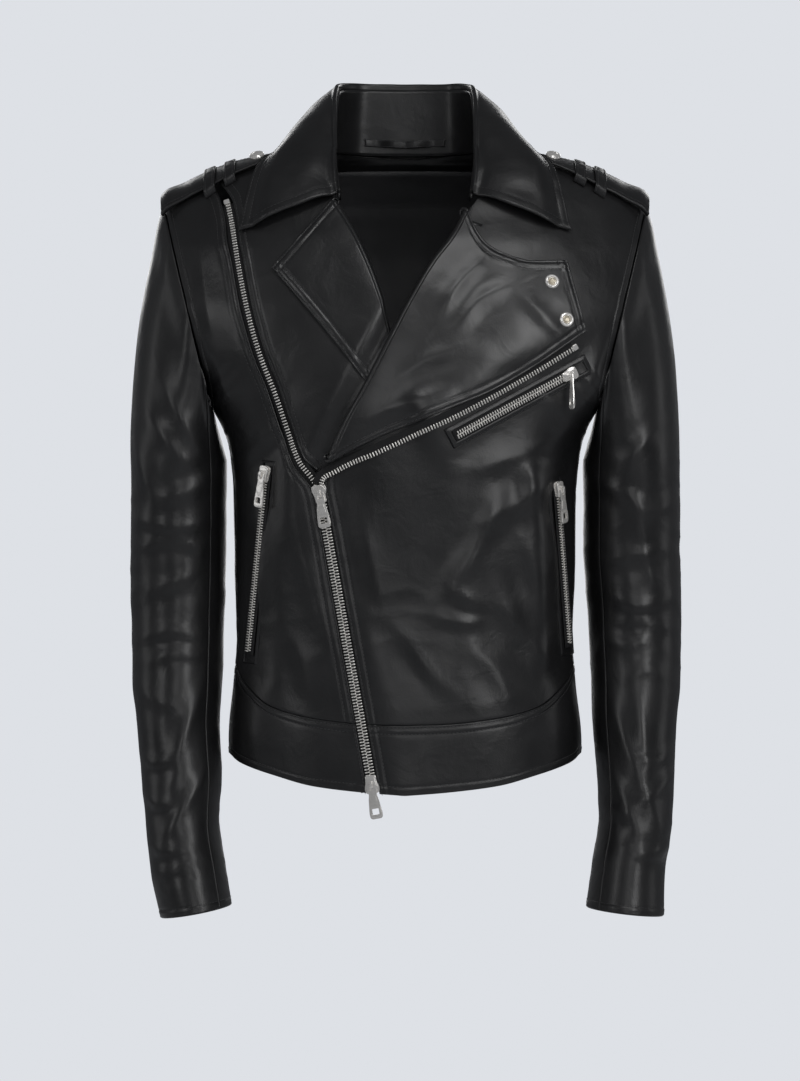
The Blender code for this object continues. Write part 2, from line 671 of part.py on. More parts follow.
def sleeve_point(sign, psi, t, off=0.0):
    """Sleeve surface; psi 0 outer, 90 front, 180 inner; t 0 at the armhole, 1 at the first ring, 2 at the cuff."""
    psi, t = np.broadcast_arrays(np.asarray(psi, float), np.asarray(t, float))
    table = SLEEVE_L if sign > 0 else SLEEVE_R
    zm, hz = (Z_PIT + Z_TIP) / 2, (Z_TIP - Z_PIT) / 2 - 0.4
    p = np.radians(psi)
    za = zm + hz * np.cos(p)
    ph = np.where(np.sin(p) >= 0, phi_arm(za), phi_arm(za, True))
    A = torso(ph, za) + np.array([0.971, 0, -0.238]) * 0.9
    A[..., 0] = arm_x(za) + 0.9
    z = np.where(t <= 1, -271.0, -271 + (CUFF_Z + 271) * np.clip(t - 1, 0, 1))
    xc, yc, hx, hy, tilt = np.moveaxis(table(z), -1, 0)
    B = np.stack([xc + hx * np.cos(p), yc - hy * np.sin(p), z - tilt * np.cos(p)], -1)
    s = np.clip(t, 0, 1)
    outer = (1 + np.cos(p)) / 2
    f = (1 - outer) * s + outer * (1 - (1 - s) ** 2.1)
    g = s * s * (3 - 2 * s)
    g = 0.5 * g + 0.5 * s
    P = np.stack([A[..., 0] + (B[..., 0] - A[..., 0]) * f, A[..., 1] + (B[..., 1] - A[..., 1]) * g, A[..., 2] + (B[..., 2] - A[..., 2]) * s], -1)
    P = np.where((t > 1)[..., None], B, P)
    P[..., 0] *= sign
    return P


def sleeve(sign):
    def surf(psi, t, off):
        du = sleeve_point(sign, psi + 1, t) - sleeve_point(sign, psi - 1, t)
        dv = sleeve_point(sign, psi, np.minimum(t + 0.01, 2.0)) - sleeve_point(sign, psi, np.maximum(t - 0.01, 0.0))
        n = np.cross(du, dv) * sign
        n = n / np.maximum(np.linalg.norm(n, axis=-1, keepdims=True), 1e-9)
        near = np.clip(1 - t / 0.12, 0, 1)[..., None]
        # at the armhole the thickness lies in the armhole's own plane
        axis = np.array([0.971 * sign, 0, -0.238])
        flat = n - axis * (n @ axis)[..., None]
        flat = flat / np.maximum(np.linalg.norm(flat, axis=-1, keepdims=True), 1e-9)
        n = n * (1 - near) + flat * near
        n = n / np.maximum(np.linalg.norm(n, axis=-1, keepdims=True), 1e-9)
        return sleeve_point(sign, psi, t) + n * np.asarray(off, float)[..., None]

    return surf


T_ROWS = np.array([0, 0.12, 0.3, 0.5, 0.75, 1.0, 1.12, 1.25, 1.38, 1.5, 1.6, 1.7, 1.8, 1.9, 2.0])
for side, sign in (("left", 1), ("right", -1)):
    surf = sleeve(sign)
    for part, a, b, n in (("top", -134.6, 134.6, 15), ("under", 135.4, 224.6, 6)):
        psi, t = np.meshgrid(np.linspace(a, b, n), T_ROWS)
        panel(f"sleeve_{side}_{part}", np.stack([psi, t], -1), surf, 0.0, -LEATHER)
    psi, t = np.meshgrid(np.linspace(0, 360, 21)[:-1], np.array([0.3, 0.5, 0.75, 1.0, 1.12, 1.25, 1.38, 1.5, 1.6, 1.8, 1.93]))
    top = surf(psi, t, np.full(psi.shape, -4.6))
    low_ = surf(psi, t, np.full(psi.shape, -5.8))
    add(f"sleeve_lining_{side}", *grid_solid(top, low_, wrap=True), "lining")

# ---------------------------------------------------------------- lapels
LAPEL_OUT, LAPEL_IN = 4.4, 2.6
lap_l = coons(
    [(-61.0, -272.5), (-48, -264.5), (-18, -250), (13, -238.0), (39, -227.0), (74, -212), (114, -189), (151, -164), (162.5, -156)],
    [(57.5, -49.0), (61, -61), (71, -76), (90, -87), (113, -93), (146, -92)],
    [(-61.0, -272.5), (-46, -235), (-32, -210), (-7, -162), (8, -133), (30, -96), (51, -68), (57.5, -49)],
    [(162.5, -156.0), (146, -92)],
    14, 10,
)
panel("lapel_left", lap_l, front, LAPEL_OUT, LAPEL_IN)

lap_r = coons(
    [(-34.5, -206.0), (-14.5, -170.5)],
    [(-119.0, -99.0), (-68, -38.5)],
    [(-34.5, -206.0), (-76, -151), (-119, -99)],
    [(-14.5, -170.5), (-24.5, -131), (-44, -80), (-68, -38.5)],
    7, 9,
)
d_r = under_depth(lap_r[..., 0], lap_r[..., 1])
panel("lapel_right", lap_r, front, 4.2 - 6.9 * d_r, 2.6 - 6.9 * d_r)

for i, (x, z) in enumerate([(132.0, -112.0), (143.0, -146.0)], 1):
    c = front(x, z, LAPEL_OUT + 0.4)
    nrm = normal(phi_front(x, z), z)
    disc(f"snap_socket_{i}", c, nrm, [(0, 0), (6.4, 0), (6.4, 1.2), (5.2, 2.2), (3.4, 2.2), (3.0, 1.4), (0, 1.4)], "metal")
for i, (x, z) in enumerate([(-106.0, -92.0), (-88.0, -112.0)], 1):
    c = front(x, z, 0.4)
    nrm = normal(phi_front(x, z), z)
    disc(f"snap_stud_{i}", c, nrm, [(0, 0), (5.0, 0), (5.0, 0.6), (2.2, 0.8), (2.2, 1.7), (0, 1.7)], "metal", 12)

# ---------------------------------------------------------------- collar
# u runs from the wearer's right gorge (-1) round the back (0) to the left gorge (1)
FOLD = smooth([(0, 0, 66, 76), (0.25, 44, 54, 77), (0.5, 64, 22, 73), (0.7, 67, -12, 50), (0.86, 66, -44, 6), (1, 62, -66, -33)])
EDGE = smooth([(0, 0, 88, -8), (0.25, 62, 80, -3), (0.42, 92, 54, 11), (0.55, 105, 26, 20), (0.66, 112, 2, 17), (0.77, 121, -20, 9), (0.87, 136, -37, -8), (1, 149, -62, -68)])
END = smooth([(0, 62, -66, -33), (0.12, 70, -71, -35), (0.4, 96, -76, -47), (0.7, 122, -76, -57), (1, 149, -62, -68)])
STAND = smooth([(0, 0, 66, 15), (0.25, 42, 57, 15.5), (0.5, 67, 27, 16), (0.7, 73, -8, 13), (0.86, 66, -38, -6), (1, 58, -60, -36)])


def both(f, u):
    u = np.asarray(u, float)
    p = f(np.abs(u))
    return np.stack([p[..., 0] * np.sign(u + 1e-12), p[..., 1], p[..., 2]], -1)


def collar_leaf_point(u, v):
    F, E = both(FOLD, u), both(EDGE, u)
    P = F + (E - F) * v[..., None]
    end = END(v)
    end = np.stack([end[..., 0] * np.sign(u + 1e-12), end[..., 1], end[..., 2]], -1)
    Fe, Ee = both(FOLD, np.sign(u + 1e-12)), both(EDGE, np.sign(u + 1e-12))
    w = np.clip((np.abs(u) - 0.55) / 0.45, 0, 1) ** 1.5
    P = P + w[..., None] * (end - (Fe + (Ee - Fe) * v[..., None]))
    # roll over the top: rises and turns out before it falls
    out = P - np.array([0, 5.0, 0])
    out[..., 2] = 0
    out = out / np.maximum(np.linalg.norm(out, axis=-1, keepdims=True), 1e-9)
    bulge = np.sin(np.pi * v) ** 0.8 * (7.0 - 3.0 * np.abs(u))
    P = P + out * bulge[..., None] + np.array([0, 0, 1.0]) * (np.sin(np.pi * v) * 5.0)[..., None]
    return P


def free_normal(f, u, v):
    du = f(u + 0.004, v) - f(u - 0.004, v)
    dv = f(u, v + 0.01) - f(u, v - 0.01)
    n = np.cross(du, dv)
    return n / np.maximum(np.linalg.norm(n, axis=-1, keepdims=True), 1e-9)


def leaf_clear(u, v, off):
    """Leaf kept clear of the shoulders it lies on."""
    P = collar_leaf_point(u, v) + free_normal(collar_leaf_point, np.clip(u, -0.99, 0.99), v) * off * -1.0
    return P


U, V = np.meshgrid(np.linspace(-0.995, 0.995, 27), np.linspace(0.0, 1, 7))


def inside(P):
    """Above 1 outside the body surface, below 1 inside it."""
    a, bf, bb, yc, n = np.moveaxis(TORSO(np.clip(P[..., 2], -300.0, 23.5)), -1, 0)
    b = np.where(P[..., 1] < yc, bf, bb)
    return ((np.abs(P[..., 0]) / a) ** n + (np.abs(P[..., 1] - yc) / b) ** n) ** (1 / n)


def lifted(P, clear):
    """Moves points out so they stay clear of the shoulder surface by at least clear mm."""
    P = P.copy()
    low = P[..., 2] < 23.0
    for _ in range(6):
        slope = np.stack([(inside(P + e) - inside(P - e)) / 1.0 for e in np.eye(3) * 0.5], -1)
        steep = np.maximum(np.linalg.norm(slope, axis=-1), 1e-6)
        gap = (inside(P) - 1) / steep
        lift = np.where(low, np.clip(clear - gap, 0, 4.0), 0)
        P = P + slope / steep[..., None] * lift[..., None]
    return P


nl = free_normal(collar_leaf_point, np.clip(U, -0.98, 0.98), np.clip(V, 0.02, 0.98))
if nl[3, 13, 1] < 0:
    nl = -nl
base_leaf = lifted(collar_leaf_point(U, V), 4.4)
base_leaf = lifted(base_leaf, 4.4)
add("collar_leaf", *grid_solid(base_leaf + nl * 1.0, base_leaf - nl * 0.8), "leather")

U, V = np.meshgrid(np.linspace(-0.93, 0.93, 25), np.linspace(0.0, 1, 4))


def stand_point(u, v):
    S, F = both(STAND, u), both(FOLD, u)
    c = np.array([0, 5.0, 0.0])
    F = F - np.array([0, 0, 4.6])
    out = F - c
    out[..., 2] = 0
    out = out / np.maximum(np.linalg.norm(out, axis=-1, keepdims=True), 1e-9)
    F = F - out * 3.2
    return S + (F - S) * v[..., None]


ns = free_normal(stand_point, U, np.clip(V, 0.02, 0.98))
if ns[1, 12, 1] < 0:
    ns = -ns
base_stand = stand_point(U, V)
add("collar_stand", *grid_solid(base_stand + ns * 0.0, base_stand - ns * 1.8), "leather")

# ---------------------------------------------------------------- epaulettes


def roof(x, y):
    """Level of the shoulder surface above (x, y)."""
    x, y = np.broadcast_arrays(np.asarray(x, float), np.asarray(y, float))
    lo, hi = np.full(x.shape, -130.0), np.full(x.shape, 23.9)
    for _ in range(50):
        mid = (lo + hi) / 2
        a, bf, bb, yc, n = np.moveaxis(TORSO(mid), -1, 0)
        b = np.where(y < yc, bf, bb)
        q = (np.abs(x) / a) ** n + (np.abs(y - yc) / b) ** n
        lo, hi = np.where(q <= 1, mid, lo), np.where(q <= 1, hi, mid)
    return (lo + hi) / 2


def roof_point(x, y, off):
    z = roof(x, y)
    e = 3.0
    zx = (roof(x + e, y) - roof(x - e, y)) / (2 * e)
    zy = (roof(x, y + e) - roof(x, y - e)) / (2 * e)
    n = np.stack([-zx, -zy, np.ones_like(z)], -1)
    n /= np.linalg.norm(n, axis=-1, keepdims=True)
    return np.stack([x * np.ones_like(z), y * np.ones_like(z), z], -1) + n * np.asarray(off, float)[..., None]


STRAP_Y = smooth([(115, -14.5), (165, -13.0), (200, -5.5), (219, 1.0)])
HALF = smooth([(113, 14.5), (130, 15.0), (219, 18.0)])


def strap_rise(x):
    """Extra height where the strap's outer end stands on the head of the sleeve."""
    t = np.clip((np.asarray(x, float) - 196) / 20, 0, 1)
    return 3.6 * t * t * (3 - 2 * t)


for side, sign in (("left", 1), ("right", -1)):
    xs = np.array([124.0, 130, 137, 146, 156, 167, 178, 190, 202, 211, 218])
    xx, vv = np.meshgrid(xs, np.linspace(-1, 1, 7), indexing="ij")
    yc = STRAP_Y(xx)[..., 0]
    half = HALF(xx)[..., 0]
    tip = 8.5 * vv * np.clip(1 - (xx - 124) / 20, 0, 1)
    X, Y = xx - tip, yc + vv * half
    top, low_ = (roof_point(X, Y, h + strap_rise(X)) for h in (5.2, 3.2))
    for g in (top, low_):
        g[..., 0] *= sign
    add(f"epaulette_{side}", *grid_solid(top, low_), "leather")
    c = roof_point(np.array(134.5), np.array(float(STRAP_Y(134.5)[0])), np.array(5.7))
    c2 = roof_point(np.array(134.5), np.array(float(STRAP_Y(134.5)[0])), np.array(7.7))
    ax = c2 - c
    c[0] *= sign
    ax[0] *= sign
    disc(f"epaulette_button_{side}", c, ax, [(0, 0), (6.2, 0), (6.6, 1.2), (4.6, 2.8), (0, 3.4)], "metal")
    for k, x0 in enumerate((153.5, 171.5), 1):
        yc0, h0 = float(STRAP_Y(x0 + 5)[0]), float(HALF(x0 + 5)[0])
        path = [(-h0 - 3.4, 0.9), (-h0 - 2.9, 3.4), (-h0 - 1.4, 6.0), (-h0 * 0.6, 6.6), (0, 6.7), (h0 * 0.6, 6.6), (h0 + 1.4, 6.0), (h0 + 2.9, 3.4), (h0 + 3.4, 0.9)]
        outer_path = [(-h0 - 4.9, 0.9), (-h0 - 4.5, 4.0), (-h0 - 2.4, 7.4), (-h0 * 0.6, 8.0), (0, 8.1), (h0 * 0.6, 8.0), (h0 + 2.4, 7.4), (h0 + 4.5, 4.0), (h0 + 4.9, 0.9)]
        grids = []
        for pth in (outer_path, path):
            p = np.array(pth)
            X, I = np.meshgrid([x0, x0 + 5, x0 + 10], np.arange(len(p)))
            g = roof_point(X, yc0 + p[I, 0], p[I, 1])
            g[..., 0] *= sign
            grids.append(g)
        add(f"epaulette_loop_{side}_{k}", *grid_solid(*grids), "leather")

# ---------------------------------------------------------------- zips


def line_frame(p, q, along, height):
    """Origin on the plane strip, then unit vectors across (wearer's left), down the zip, and out."""
    a = front(np.array(p[0]), np.array(p[1]), np.array(0.0))
    b = front(np.array(q[0]), np.array(q[1]), np.array(0.0))
    d = (b - a) / np.linalg.norm(b - a)
    mid = (np.array(p) + np.array(q)) / 2
    n = normal(phi_front(mid[0], mid[1]), mid[1])
    n = n - d * (n @ d)
    n /= np.linalg.norm(n)
    across = np.cross(d, n)
    return a + d * along + n * height, across, d, n, float(np.linalg.norm(b - a))


def row(name, path, lo, hi, out, inn, kind, step=16.0):
    return panel(name, strip_patch(path, lo, hi, 2, step), front, out, inn, kind)


MAIN_TOP_AT, MAIN_END_AT = 3.0, 268.0  # the two sliders' places along the closed chain
along = lambda s: (ZIP_TOP[0] + (ZIP_END[0] - ZIP_TOP[0]) * s / 276.3, ZIP_TOP[1] + (ZIP_END[1] - ZIP_TOP[1]) * s / 276.3)


def beside(s, side):
    """(x, z) at s along the closed chain and side mm to the wearer's left of it."""
    x, z = along(s)
    d, _, _ = flat_frame(ZIP_TOP, ZIP_END)
    return x - d[1] * side, z + d[0] * side


tape_r = [beside(274, -7.4)] + [beside(s, -7.4) for s in (200, 130, 70, 12)]
tape_l = [beside(274, 7.4)] + [beside(s, 7.4) for s in (200, 130, 70, 12)]
tape_up = [(-84.5, -287.0)] + [tuple(p) for p in np.asarray(STRING_R)[1:]]
row("main_tape_left", tape_l, -5.0, 5.0, -2.9, -3.5, "tape")
row("main_tape_right", tape_r, -5.0, 5.0, -2.9, -3.5, "tape")
row("main_teeth_left", [beside(s, 2.25) for s in (262, 200, 130, 70, 8)], -1.95, 1.95, 0.5, -2.2, "metal")
row("main_teeth_right", [beside(s, -2.25) for s in (262, 200, 130, 70, 8)], -1.95, 1.95, 0.5, -2.2, "metal")
row("chest_stringer_right", [(-92.3, -280.5)] + [tuple(p) for p in np.asarray(STRING_R)[1:]], -3.6, 3.6, 0.6, -2.0, "metal")

# the left stringer's upper run lies along the folded lapel's edge: tape under the lapel, teeth at the free edge
lz = np.asarray(STRING_L, float)
tape = strip_patch(lz, -2.0, 9.0, 2)
c = resample(lz, np.linspace(0, 1, tape.shape[0]))
t = np.gradient(c, axis=0)
t /= np.linalg.norm(t, axis=1, keepdims=True)
up = np.stack([-t[:, 1], t[:, 0]], -1)
section = [(-2.2, 0.9), (-2.2, 3.2), (1.8, 3.2), (1.8, 1.35), (7.6, 1.35), (7.6, 0.9)]
loops = []
for w, h in section:
    q = c + up * w
    loops.append(front(q[:, 0], q[:, 1], np.full(len(q), h)))
loops = np.stack(loops, 1)
m, n = loops.shape[:2]
verts = loops.reshape(-1, 3)
faces = []
for i in range(m - 1):
    for j in range(n):
        k = (j + 1) % n
        faces.append((i * n + j, i * n + k, (i + 1) * n + k, (i + 1) * n + j))
faces.append(tuple(reversed(range(n))))
faces.append(tuple((m - 1) * n + j for j in range(n)))
add("lapel_zip_row", verts, faces, "metal")

SLIDER_PLAN = [(-4.4, 8.3), (4.4, 8.3), (5.2, 1.5), (6.8, -3.0), (6.2, -7.3), (3.0, -8.4), (-3.0, -8.4), (-6.2, -7.3), (-6.8, -3.0), (-5.2, 1.5)]


def slider(name, frame, flip, lower, upper, grow=1.0):
    """Two plates, a wedge post at the nose and a bridge for the pull; flip turns its nose the other way."""
    o, across, d, n = frame
    s = -1.0 if flip else 1.0
    fr = (o, across * s, d * s, n)
    plan = [(x * grow, y * grow) for x, y in SLIDER_PLAN]
    post = [(-1.5, -7.4 * grow), (1.5, -7.4 * grow), (1.5, -5.2 * grow), (0, -3.2 * grow), (-1.5, -5.2 * grow)]
    bodies = [
        extruded(plan, [], upper, upper + 1.3, fr),
        extruded([(x * 0.93, y * 0.96) for x, y in plan], [], lower - 1.0, lower, fr),
        extruded(post, [], lower - 0.6, upper + 0.6, fr),
    ]
    arch = [(-2.9, -0.5), (-1.9, -0.5), (-1.9, 2.7), (1.9, 2.7), (1.9, -0.5), (2.9, -0.5), (2.9, 3.2), (2.3, 3.8), (-2.3, 3.8), (-2.9, 3.2)]
    bodies.append(extruded(arch, [], -1.2, 1.2, (o + n * (upper + 1.3), d * s, n, np.cross(d * s, n))))
    return joined(name, bodies, "metal", o)


def pull(name, pivot, across, down, out, length=PULL_LENGTH, window=True):
    outline = [(-3.4, -1.1), (3.4, -1.1), (4.2, 0.0), (4.2, 6.0), (4.8, 14), (6.0, length - 4), (5.2, length - 1), (3.4, length), (-3.4, length), (-5.2, length - 1), (-6.0, length - 4), (-4.8, 14), (-4.2, 6.0), (-4.2, 0.0)]
    holes = [[(-1.8, 0.7), (1.8, 0.7), (1.8, 5.0), (-1.8, 5.0)]]
    if window:
        y0 = length - 9.0
        holes.append([(-3.2, y0), (3.2, y0), (3.2, y0 + 5.3), (-3.2, y0 + 5.3)])
    v, f = extruded(outline, holes, -0.6, 0.6, (pivot, across, down, out))
    return add(name, v, f, "metal", pivot)


JOINTS = {}
o, across, d, n, _ = line_frame(ZIP_TOP, ZIP_END, MAIN_TOP_AT, 0.0)
slider("main_slider_top", (o, across, d, n), False, -4.0, 1.0)
pv = o + n * (1.0 + 1.3 + 1.5)
pull("main_pull_top", pv, across, d, n)
JOINTS["main_slider_top"] = (o, d, across, n, pv)
o, across, d, n, _ = line_frame(ZIP_TOP, ZIP_END, MAIN_END_AT, 0.0)
slider("main_slider_bottom", (o, across, d, n), True, -4.0, 1.0)
pv = o + n * (1.0 + 1.3 + 1.5)
pull("main_pull_bottom", pv, across, d, n)
JOINTS["main_slider_bottom"] = (o, d, across, n, pv)


def small_zip(name, p, q, first, last, at, flip, half, lift):
    """Straight pocket zip on the shell: a chain strip with its slider at one end."""
    o, across, d, n, length = line_frame(p, q, 0.0, 0.0)
    chain = extruded([(-half, first), (half, first), (half, last), (-half, last)], [], lift + 1.7, lift + 3.2, (o, across, d, n))
    add(f"{name}_zip", *chain, "metal", o)
    so = o + d * at
    slider(f"{name}_slider", (so, across, d, n), flip, lift + 1.4, lift + 3.5, 0.86)
    pv = so + n * (lift + 3.5 + 1.3 + 1.5)
    JOINTS[f"{name}_slider"] = (so, d, across, n, pv)
    return pv, across, d, n, so, length


pv, across, d, n, so, length = small_zip("side_pocket_right", POCKET_R_A, POCKET_R_B, 2.0, 165.0, 0.5, False, SMALL_CHAIN_HALF, 1.0)
pull("side_pocket_right_pull", pv, across, d, n)
pv, across, d, n, so, length = small_zip("side_pocket_left", POCKET_L_A, POCKET_L_B, 2.0, 144.0, 0.5, False, SMALL_CHAIN_HALF, 1.0)
pull("side_pocket_left_pull", pv, across, d, n)
pv, across, d, n, so, length = small_zip("chest_pocket", CHEST_A, CHEST_B, -1.0, 117.0, 119.0, True, SMALL_CHAIN_HALF, 0.8)
# this pull hangs straight down and edge on: its eye goes round the bridge's top bar
down = np.array([0.0, 0.0, -1.0])
wide = n - down * (n @ down)
wide /= np.linalg.norm(wide)
side_way = np.cross(wide, down)
pv = so + n * (0.8 + 3.5 + 1.3 + 3.25)
eye = [(1.6 * math.cos(k * math.pi / 5 + 0.3), 1.6 * math.sin(k * math.pi / 5 + 0.3)) for k in range(10)]
rim = [(2.3 * math.cos(k * math.pi / 8), 2.3 * math.sin(k * math.pi / 8)) for k in range(8, 17)]
L = PULL_LENGTH
outline = rim + [(3.4, 4.0), (4.4, 14), (5.4, L - 4), (4.6, L - 1), (3.0, L), (-3.0, L), (-4.6, L - 1), (-5.4, L - 4), (-4.4, 14), (-3.4, 4.0)]
slot = [(-2.9, L - 9), (2.9, L - 9), (2.9, L - 3.7), (-2.9, L - 3.7)]
v, f = extruded(outline, [eye, slot], -0.35, 0.35, (pv, wide, down, side_way))
add("chest_pocket_pull", v, f, "metal", pv)
JOINTS["chest_pocket_slider"] = (so, d, side_way, n, pv)

# welt round the chest pocket's zip
dch, lch, _ = flat_frame(CHEST_A, CHEST_B)
cch = np.array([-dch[1], dch[0]])


def loop_at(half_w, lo, hi):
    out = []
    for s in np.linspace(lo, hi, 9):
        out.append(np.array(CHEST_A) + dch * s - cch * half_w)
    for s in np.linspace(hi, lo, 9):
        out.append(np.array(CHEST_A) + dch * s + cch * half_w)
    return out


v, f = ring_solid(loop_at(9.6, -6.0, 134.0), loop_at(6.6, -3.0, 130.0), front, 2.0, 0.8)
add("chest_pocket_welt", v, f, "leather")

# pocket bags, closed and flat, behind the shell
bag_r = coons([(-72.0 - 30, -398.0), (-150, -440)], [(-104.0, -300.0), (-134, -296)], [(-102.0, -398.0), (-104, -300)], [(-150.0, -440.0), (-134, -296)], 6, 13)
panel("side_pocket_right_bag", bag_r, front, -4.1, -5.3, "lining")
bag_l = coons([(84.0, -440.0), (146, -440)], [(96.0, -310.0), (140, -306)], [(84.0, -440.0), (96, -310)], [(146.0, -440.0), (140, -306)], 7, 11)
panel("side_pocket_left_bag", bag_l, front, -4.1, -5.3, "lining")
bag_c = coons([(52.0, -300.0), (104, -297)], [(52.0, -258.0), (106, -232)], [(52.0, -300.0), (52, -258)], [(104.0, -297.0), (106, -232)], 7, 7)
panel("chest_pocket_bag", bag_c, front, -4.1, -5.3, "lining")

# hanger loop at centre back, inside the neck
loop_out = [(-36, 0.9), (-30, 1.0), (-20, 7.0), (0, 8.5), (20, 7.0), (30, 1.0), (36, 0.9)]
P1, P2 = [], []
for x, h in loop_out:
    rowa, rowb = [], []
    for z in (22.0, 28.0):
        S = stand_point(np.array(x / 176.0), np.array((z - 15) / 57.0))
        nn = np.array([-x / 120.0, -1.0, 0.0])
        nn /= np.linalg.norm(nn)
        inner_face = S - np.array([0, 1.8, 0])
        rowa.append(inner_face + nn * (h + 1.4))
        rowb.append(inner_face + nn * h)
    P1.append(rowa)
    P2.append(rowb)
add("hanger_loop", *grid_solid(np.array(P1), np.array(P2)), "leather")

for k, (o, d, across, n, pv) in JOINTS.items():
    print("JOINT", k, "o", [round(float(q) / 1000, 6) for q in o], "d", [round(float(q), 6) for q in d], "across", [round(float(q), 6) for q in across], "n", [round(float(q), 6) for q in n], "pivot", [round(float(q) / 1000, 6) for q in pv])
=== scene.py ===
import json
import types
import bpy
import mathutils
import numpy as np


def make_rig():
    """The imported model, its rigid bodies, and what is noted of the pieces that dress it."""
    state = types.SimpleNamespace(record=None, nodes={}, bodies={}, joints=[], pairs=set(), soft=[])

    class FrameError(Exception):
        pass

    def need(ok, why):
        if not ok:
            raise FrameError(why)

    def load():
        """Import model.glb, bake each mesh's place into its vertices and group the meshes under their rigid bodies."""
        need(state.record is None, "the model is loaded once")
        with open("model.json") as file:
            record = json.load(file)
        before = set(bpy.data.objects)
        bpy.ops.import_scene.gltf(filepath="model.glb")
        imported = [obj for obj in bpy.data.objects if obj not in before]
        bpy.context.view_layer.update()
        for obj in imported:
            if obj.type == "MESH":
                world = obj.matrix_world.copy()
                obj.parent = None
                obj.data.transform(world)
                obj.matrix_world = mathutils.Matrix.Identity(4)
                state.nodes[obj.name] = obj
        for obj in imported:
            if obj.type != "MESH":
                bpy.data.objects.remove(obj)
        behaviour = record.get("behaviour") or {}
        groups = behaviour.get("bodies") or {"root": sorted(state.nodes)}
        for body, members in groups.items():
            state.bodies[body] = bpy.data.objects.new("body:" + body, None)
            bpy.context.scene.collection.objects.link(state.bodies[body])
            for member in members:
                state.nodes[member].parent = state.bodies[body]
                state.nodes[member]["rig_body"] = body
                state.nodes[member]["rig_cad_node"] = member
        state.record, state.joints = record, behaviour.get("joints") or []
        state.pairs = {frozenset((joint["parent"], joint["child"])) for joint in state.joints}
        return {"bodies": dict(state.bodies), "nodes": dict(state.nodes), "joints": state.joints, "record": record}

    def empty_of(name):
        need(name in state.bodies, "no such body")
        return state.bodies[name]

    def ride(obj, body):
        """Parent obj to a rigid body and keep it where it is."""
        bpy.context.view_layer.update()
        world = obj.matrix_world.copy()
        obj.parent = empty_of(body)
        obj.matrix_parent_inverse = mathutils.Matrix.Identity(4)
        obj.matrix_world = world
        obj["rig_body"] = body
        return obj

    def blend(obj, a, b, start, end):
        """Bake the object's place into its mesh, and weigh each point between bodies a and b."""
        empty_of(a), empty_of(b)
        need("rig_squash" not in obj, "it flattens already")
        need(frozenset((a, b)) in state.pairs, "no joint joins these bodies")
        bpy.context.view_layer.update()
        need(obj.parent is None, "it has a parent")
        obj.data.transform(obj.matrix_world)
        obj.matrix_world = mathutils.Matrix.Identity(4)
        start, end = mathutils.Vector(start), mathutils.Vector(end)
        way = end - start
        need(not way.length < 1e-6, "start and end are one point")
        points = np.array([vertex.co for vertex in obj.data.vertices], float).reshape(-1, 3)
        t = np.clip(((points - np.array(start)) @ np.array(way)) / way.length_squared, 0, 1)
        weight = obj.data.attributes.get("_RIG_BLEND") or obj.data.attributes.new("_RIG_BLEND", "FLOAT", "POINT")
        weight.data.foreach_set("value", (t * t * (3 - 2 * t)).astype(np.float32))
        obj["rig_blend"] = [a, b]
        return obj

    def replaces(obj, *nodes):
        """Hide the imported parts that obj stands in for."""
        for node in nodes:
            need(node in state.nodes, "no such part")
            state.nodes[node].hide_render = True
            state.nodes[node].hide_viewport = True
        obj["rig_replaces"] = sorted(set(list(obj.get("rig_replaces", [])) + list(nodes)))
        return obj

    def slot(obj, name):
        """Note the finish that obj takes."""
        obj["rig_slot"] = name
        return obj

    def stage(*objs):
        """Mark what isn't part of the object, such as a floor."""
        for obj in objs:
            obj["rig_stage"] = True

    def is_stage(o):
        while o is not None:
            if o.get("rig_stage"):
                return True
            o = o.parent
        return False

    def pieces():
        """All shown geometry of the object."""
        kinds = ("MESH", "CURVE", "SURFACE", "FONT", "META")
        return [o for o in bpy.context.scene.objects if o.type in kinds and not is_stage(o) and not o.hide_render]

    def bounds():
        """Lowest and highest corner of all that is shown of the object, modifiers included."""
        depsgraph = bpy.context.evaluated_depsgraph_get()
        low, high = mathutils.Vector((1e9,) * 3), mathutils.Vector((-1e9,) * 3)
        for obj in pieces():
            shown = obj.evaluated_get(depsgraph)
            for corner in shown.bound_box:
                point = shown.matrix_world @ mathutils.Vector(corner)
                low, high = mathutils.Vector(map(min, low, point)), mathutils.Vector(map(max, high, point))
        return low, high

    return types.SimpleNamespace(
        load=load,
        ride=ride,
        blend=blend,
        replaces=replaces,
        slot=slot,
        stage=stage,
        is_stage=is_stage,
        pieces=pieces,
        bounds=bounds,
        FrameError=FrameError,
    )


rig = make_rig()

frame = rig.load()

import json
import math

import bmesh
import bpy
import numpy as np
from mathutils import Vector
from mathutils.geometry import tessellate_polygon

CAD_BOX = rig.bounds()

# ================================================================ the jacket's surfaces, in millimetres
LEATHER = 2.0  # shell panel, skin with its backing
SEAM = 0.8  # clear gap left at each seam
LINING_OUT, LINING_IN = -6.2, -7.4  # lining's two faces, below the shell's outer face
ARM_X, ARM_SLOPE = 230.5, 0.245  # armhole plane: x = ARM_X + ARM_SLOPE * z
SIDE_PHI = 84.0  # side seam
YOKE_Z = -112.0
ZIP_TOP, ZIP_END = (-77.0, -300.0), (-28.4, -572.0)
CHEST_A, CHEST_B = (47.0, -250.0), (154.0, -191.5)
POCKET_R_A, POCKET_R_B = (-124.0, -284.0), (-141.0, -451.0)
POCKET_L_A, POCKET_L_B = (136.0, -298.0), (148.0, -444.0)
FLATS = (
    (ZIP_TOP, ZIP_END, 30.0),
    (CHEST_A, CHEST_B, 30.0),
    (POCKET_R_A, POCKET_R_B, 16.0),
    (POCKET_L_A, POCKET_L_B, 16.0),
)
FLAT_HALF = 9.5  # half width of the plane strip under each straight zip
CHAIN_HALF = 4.2  # half width of the closed main chain
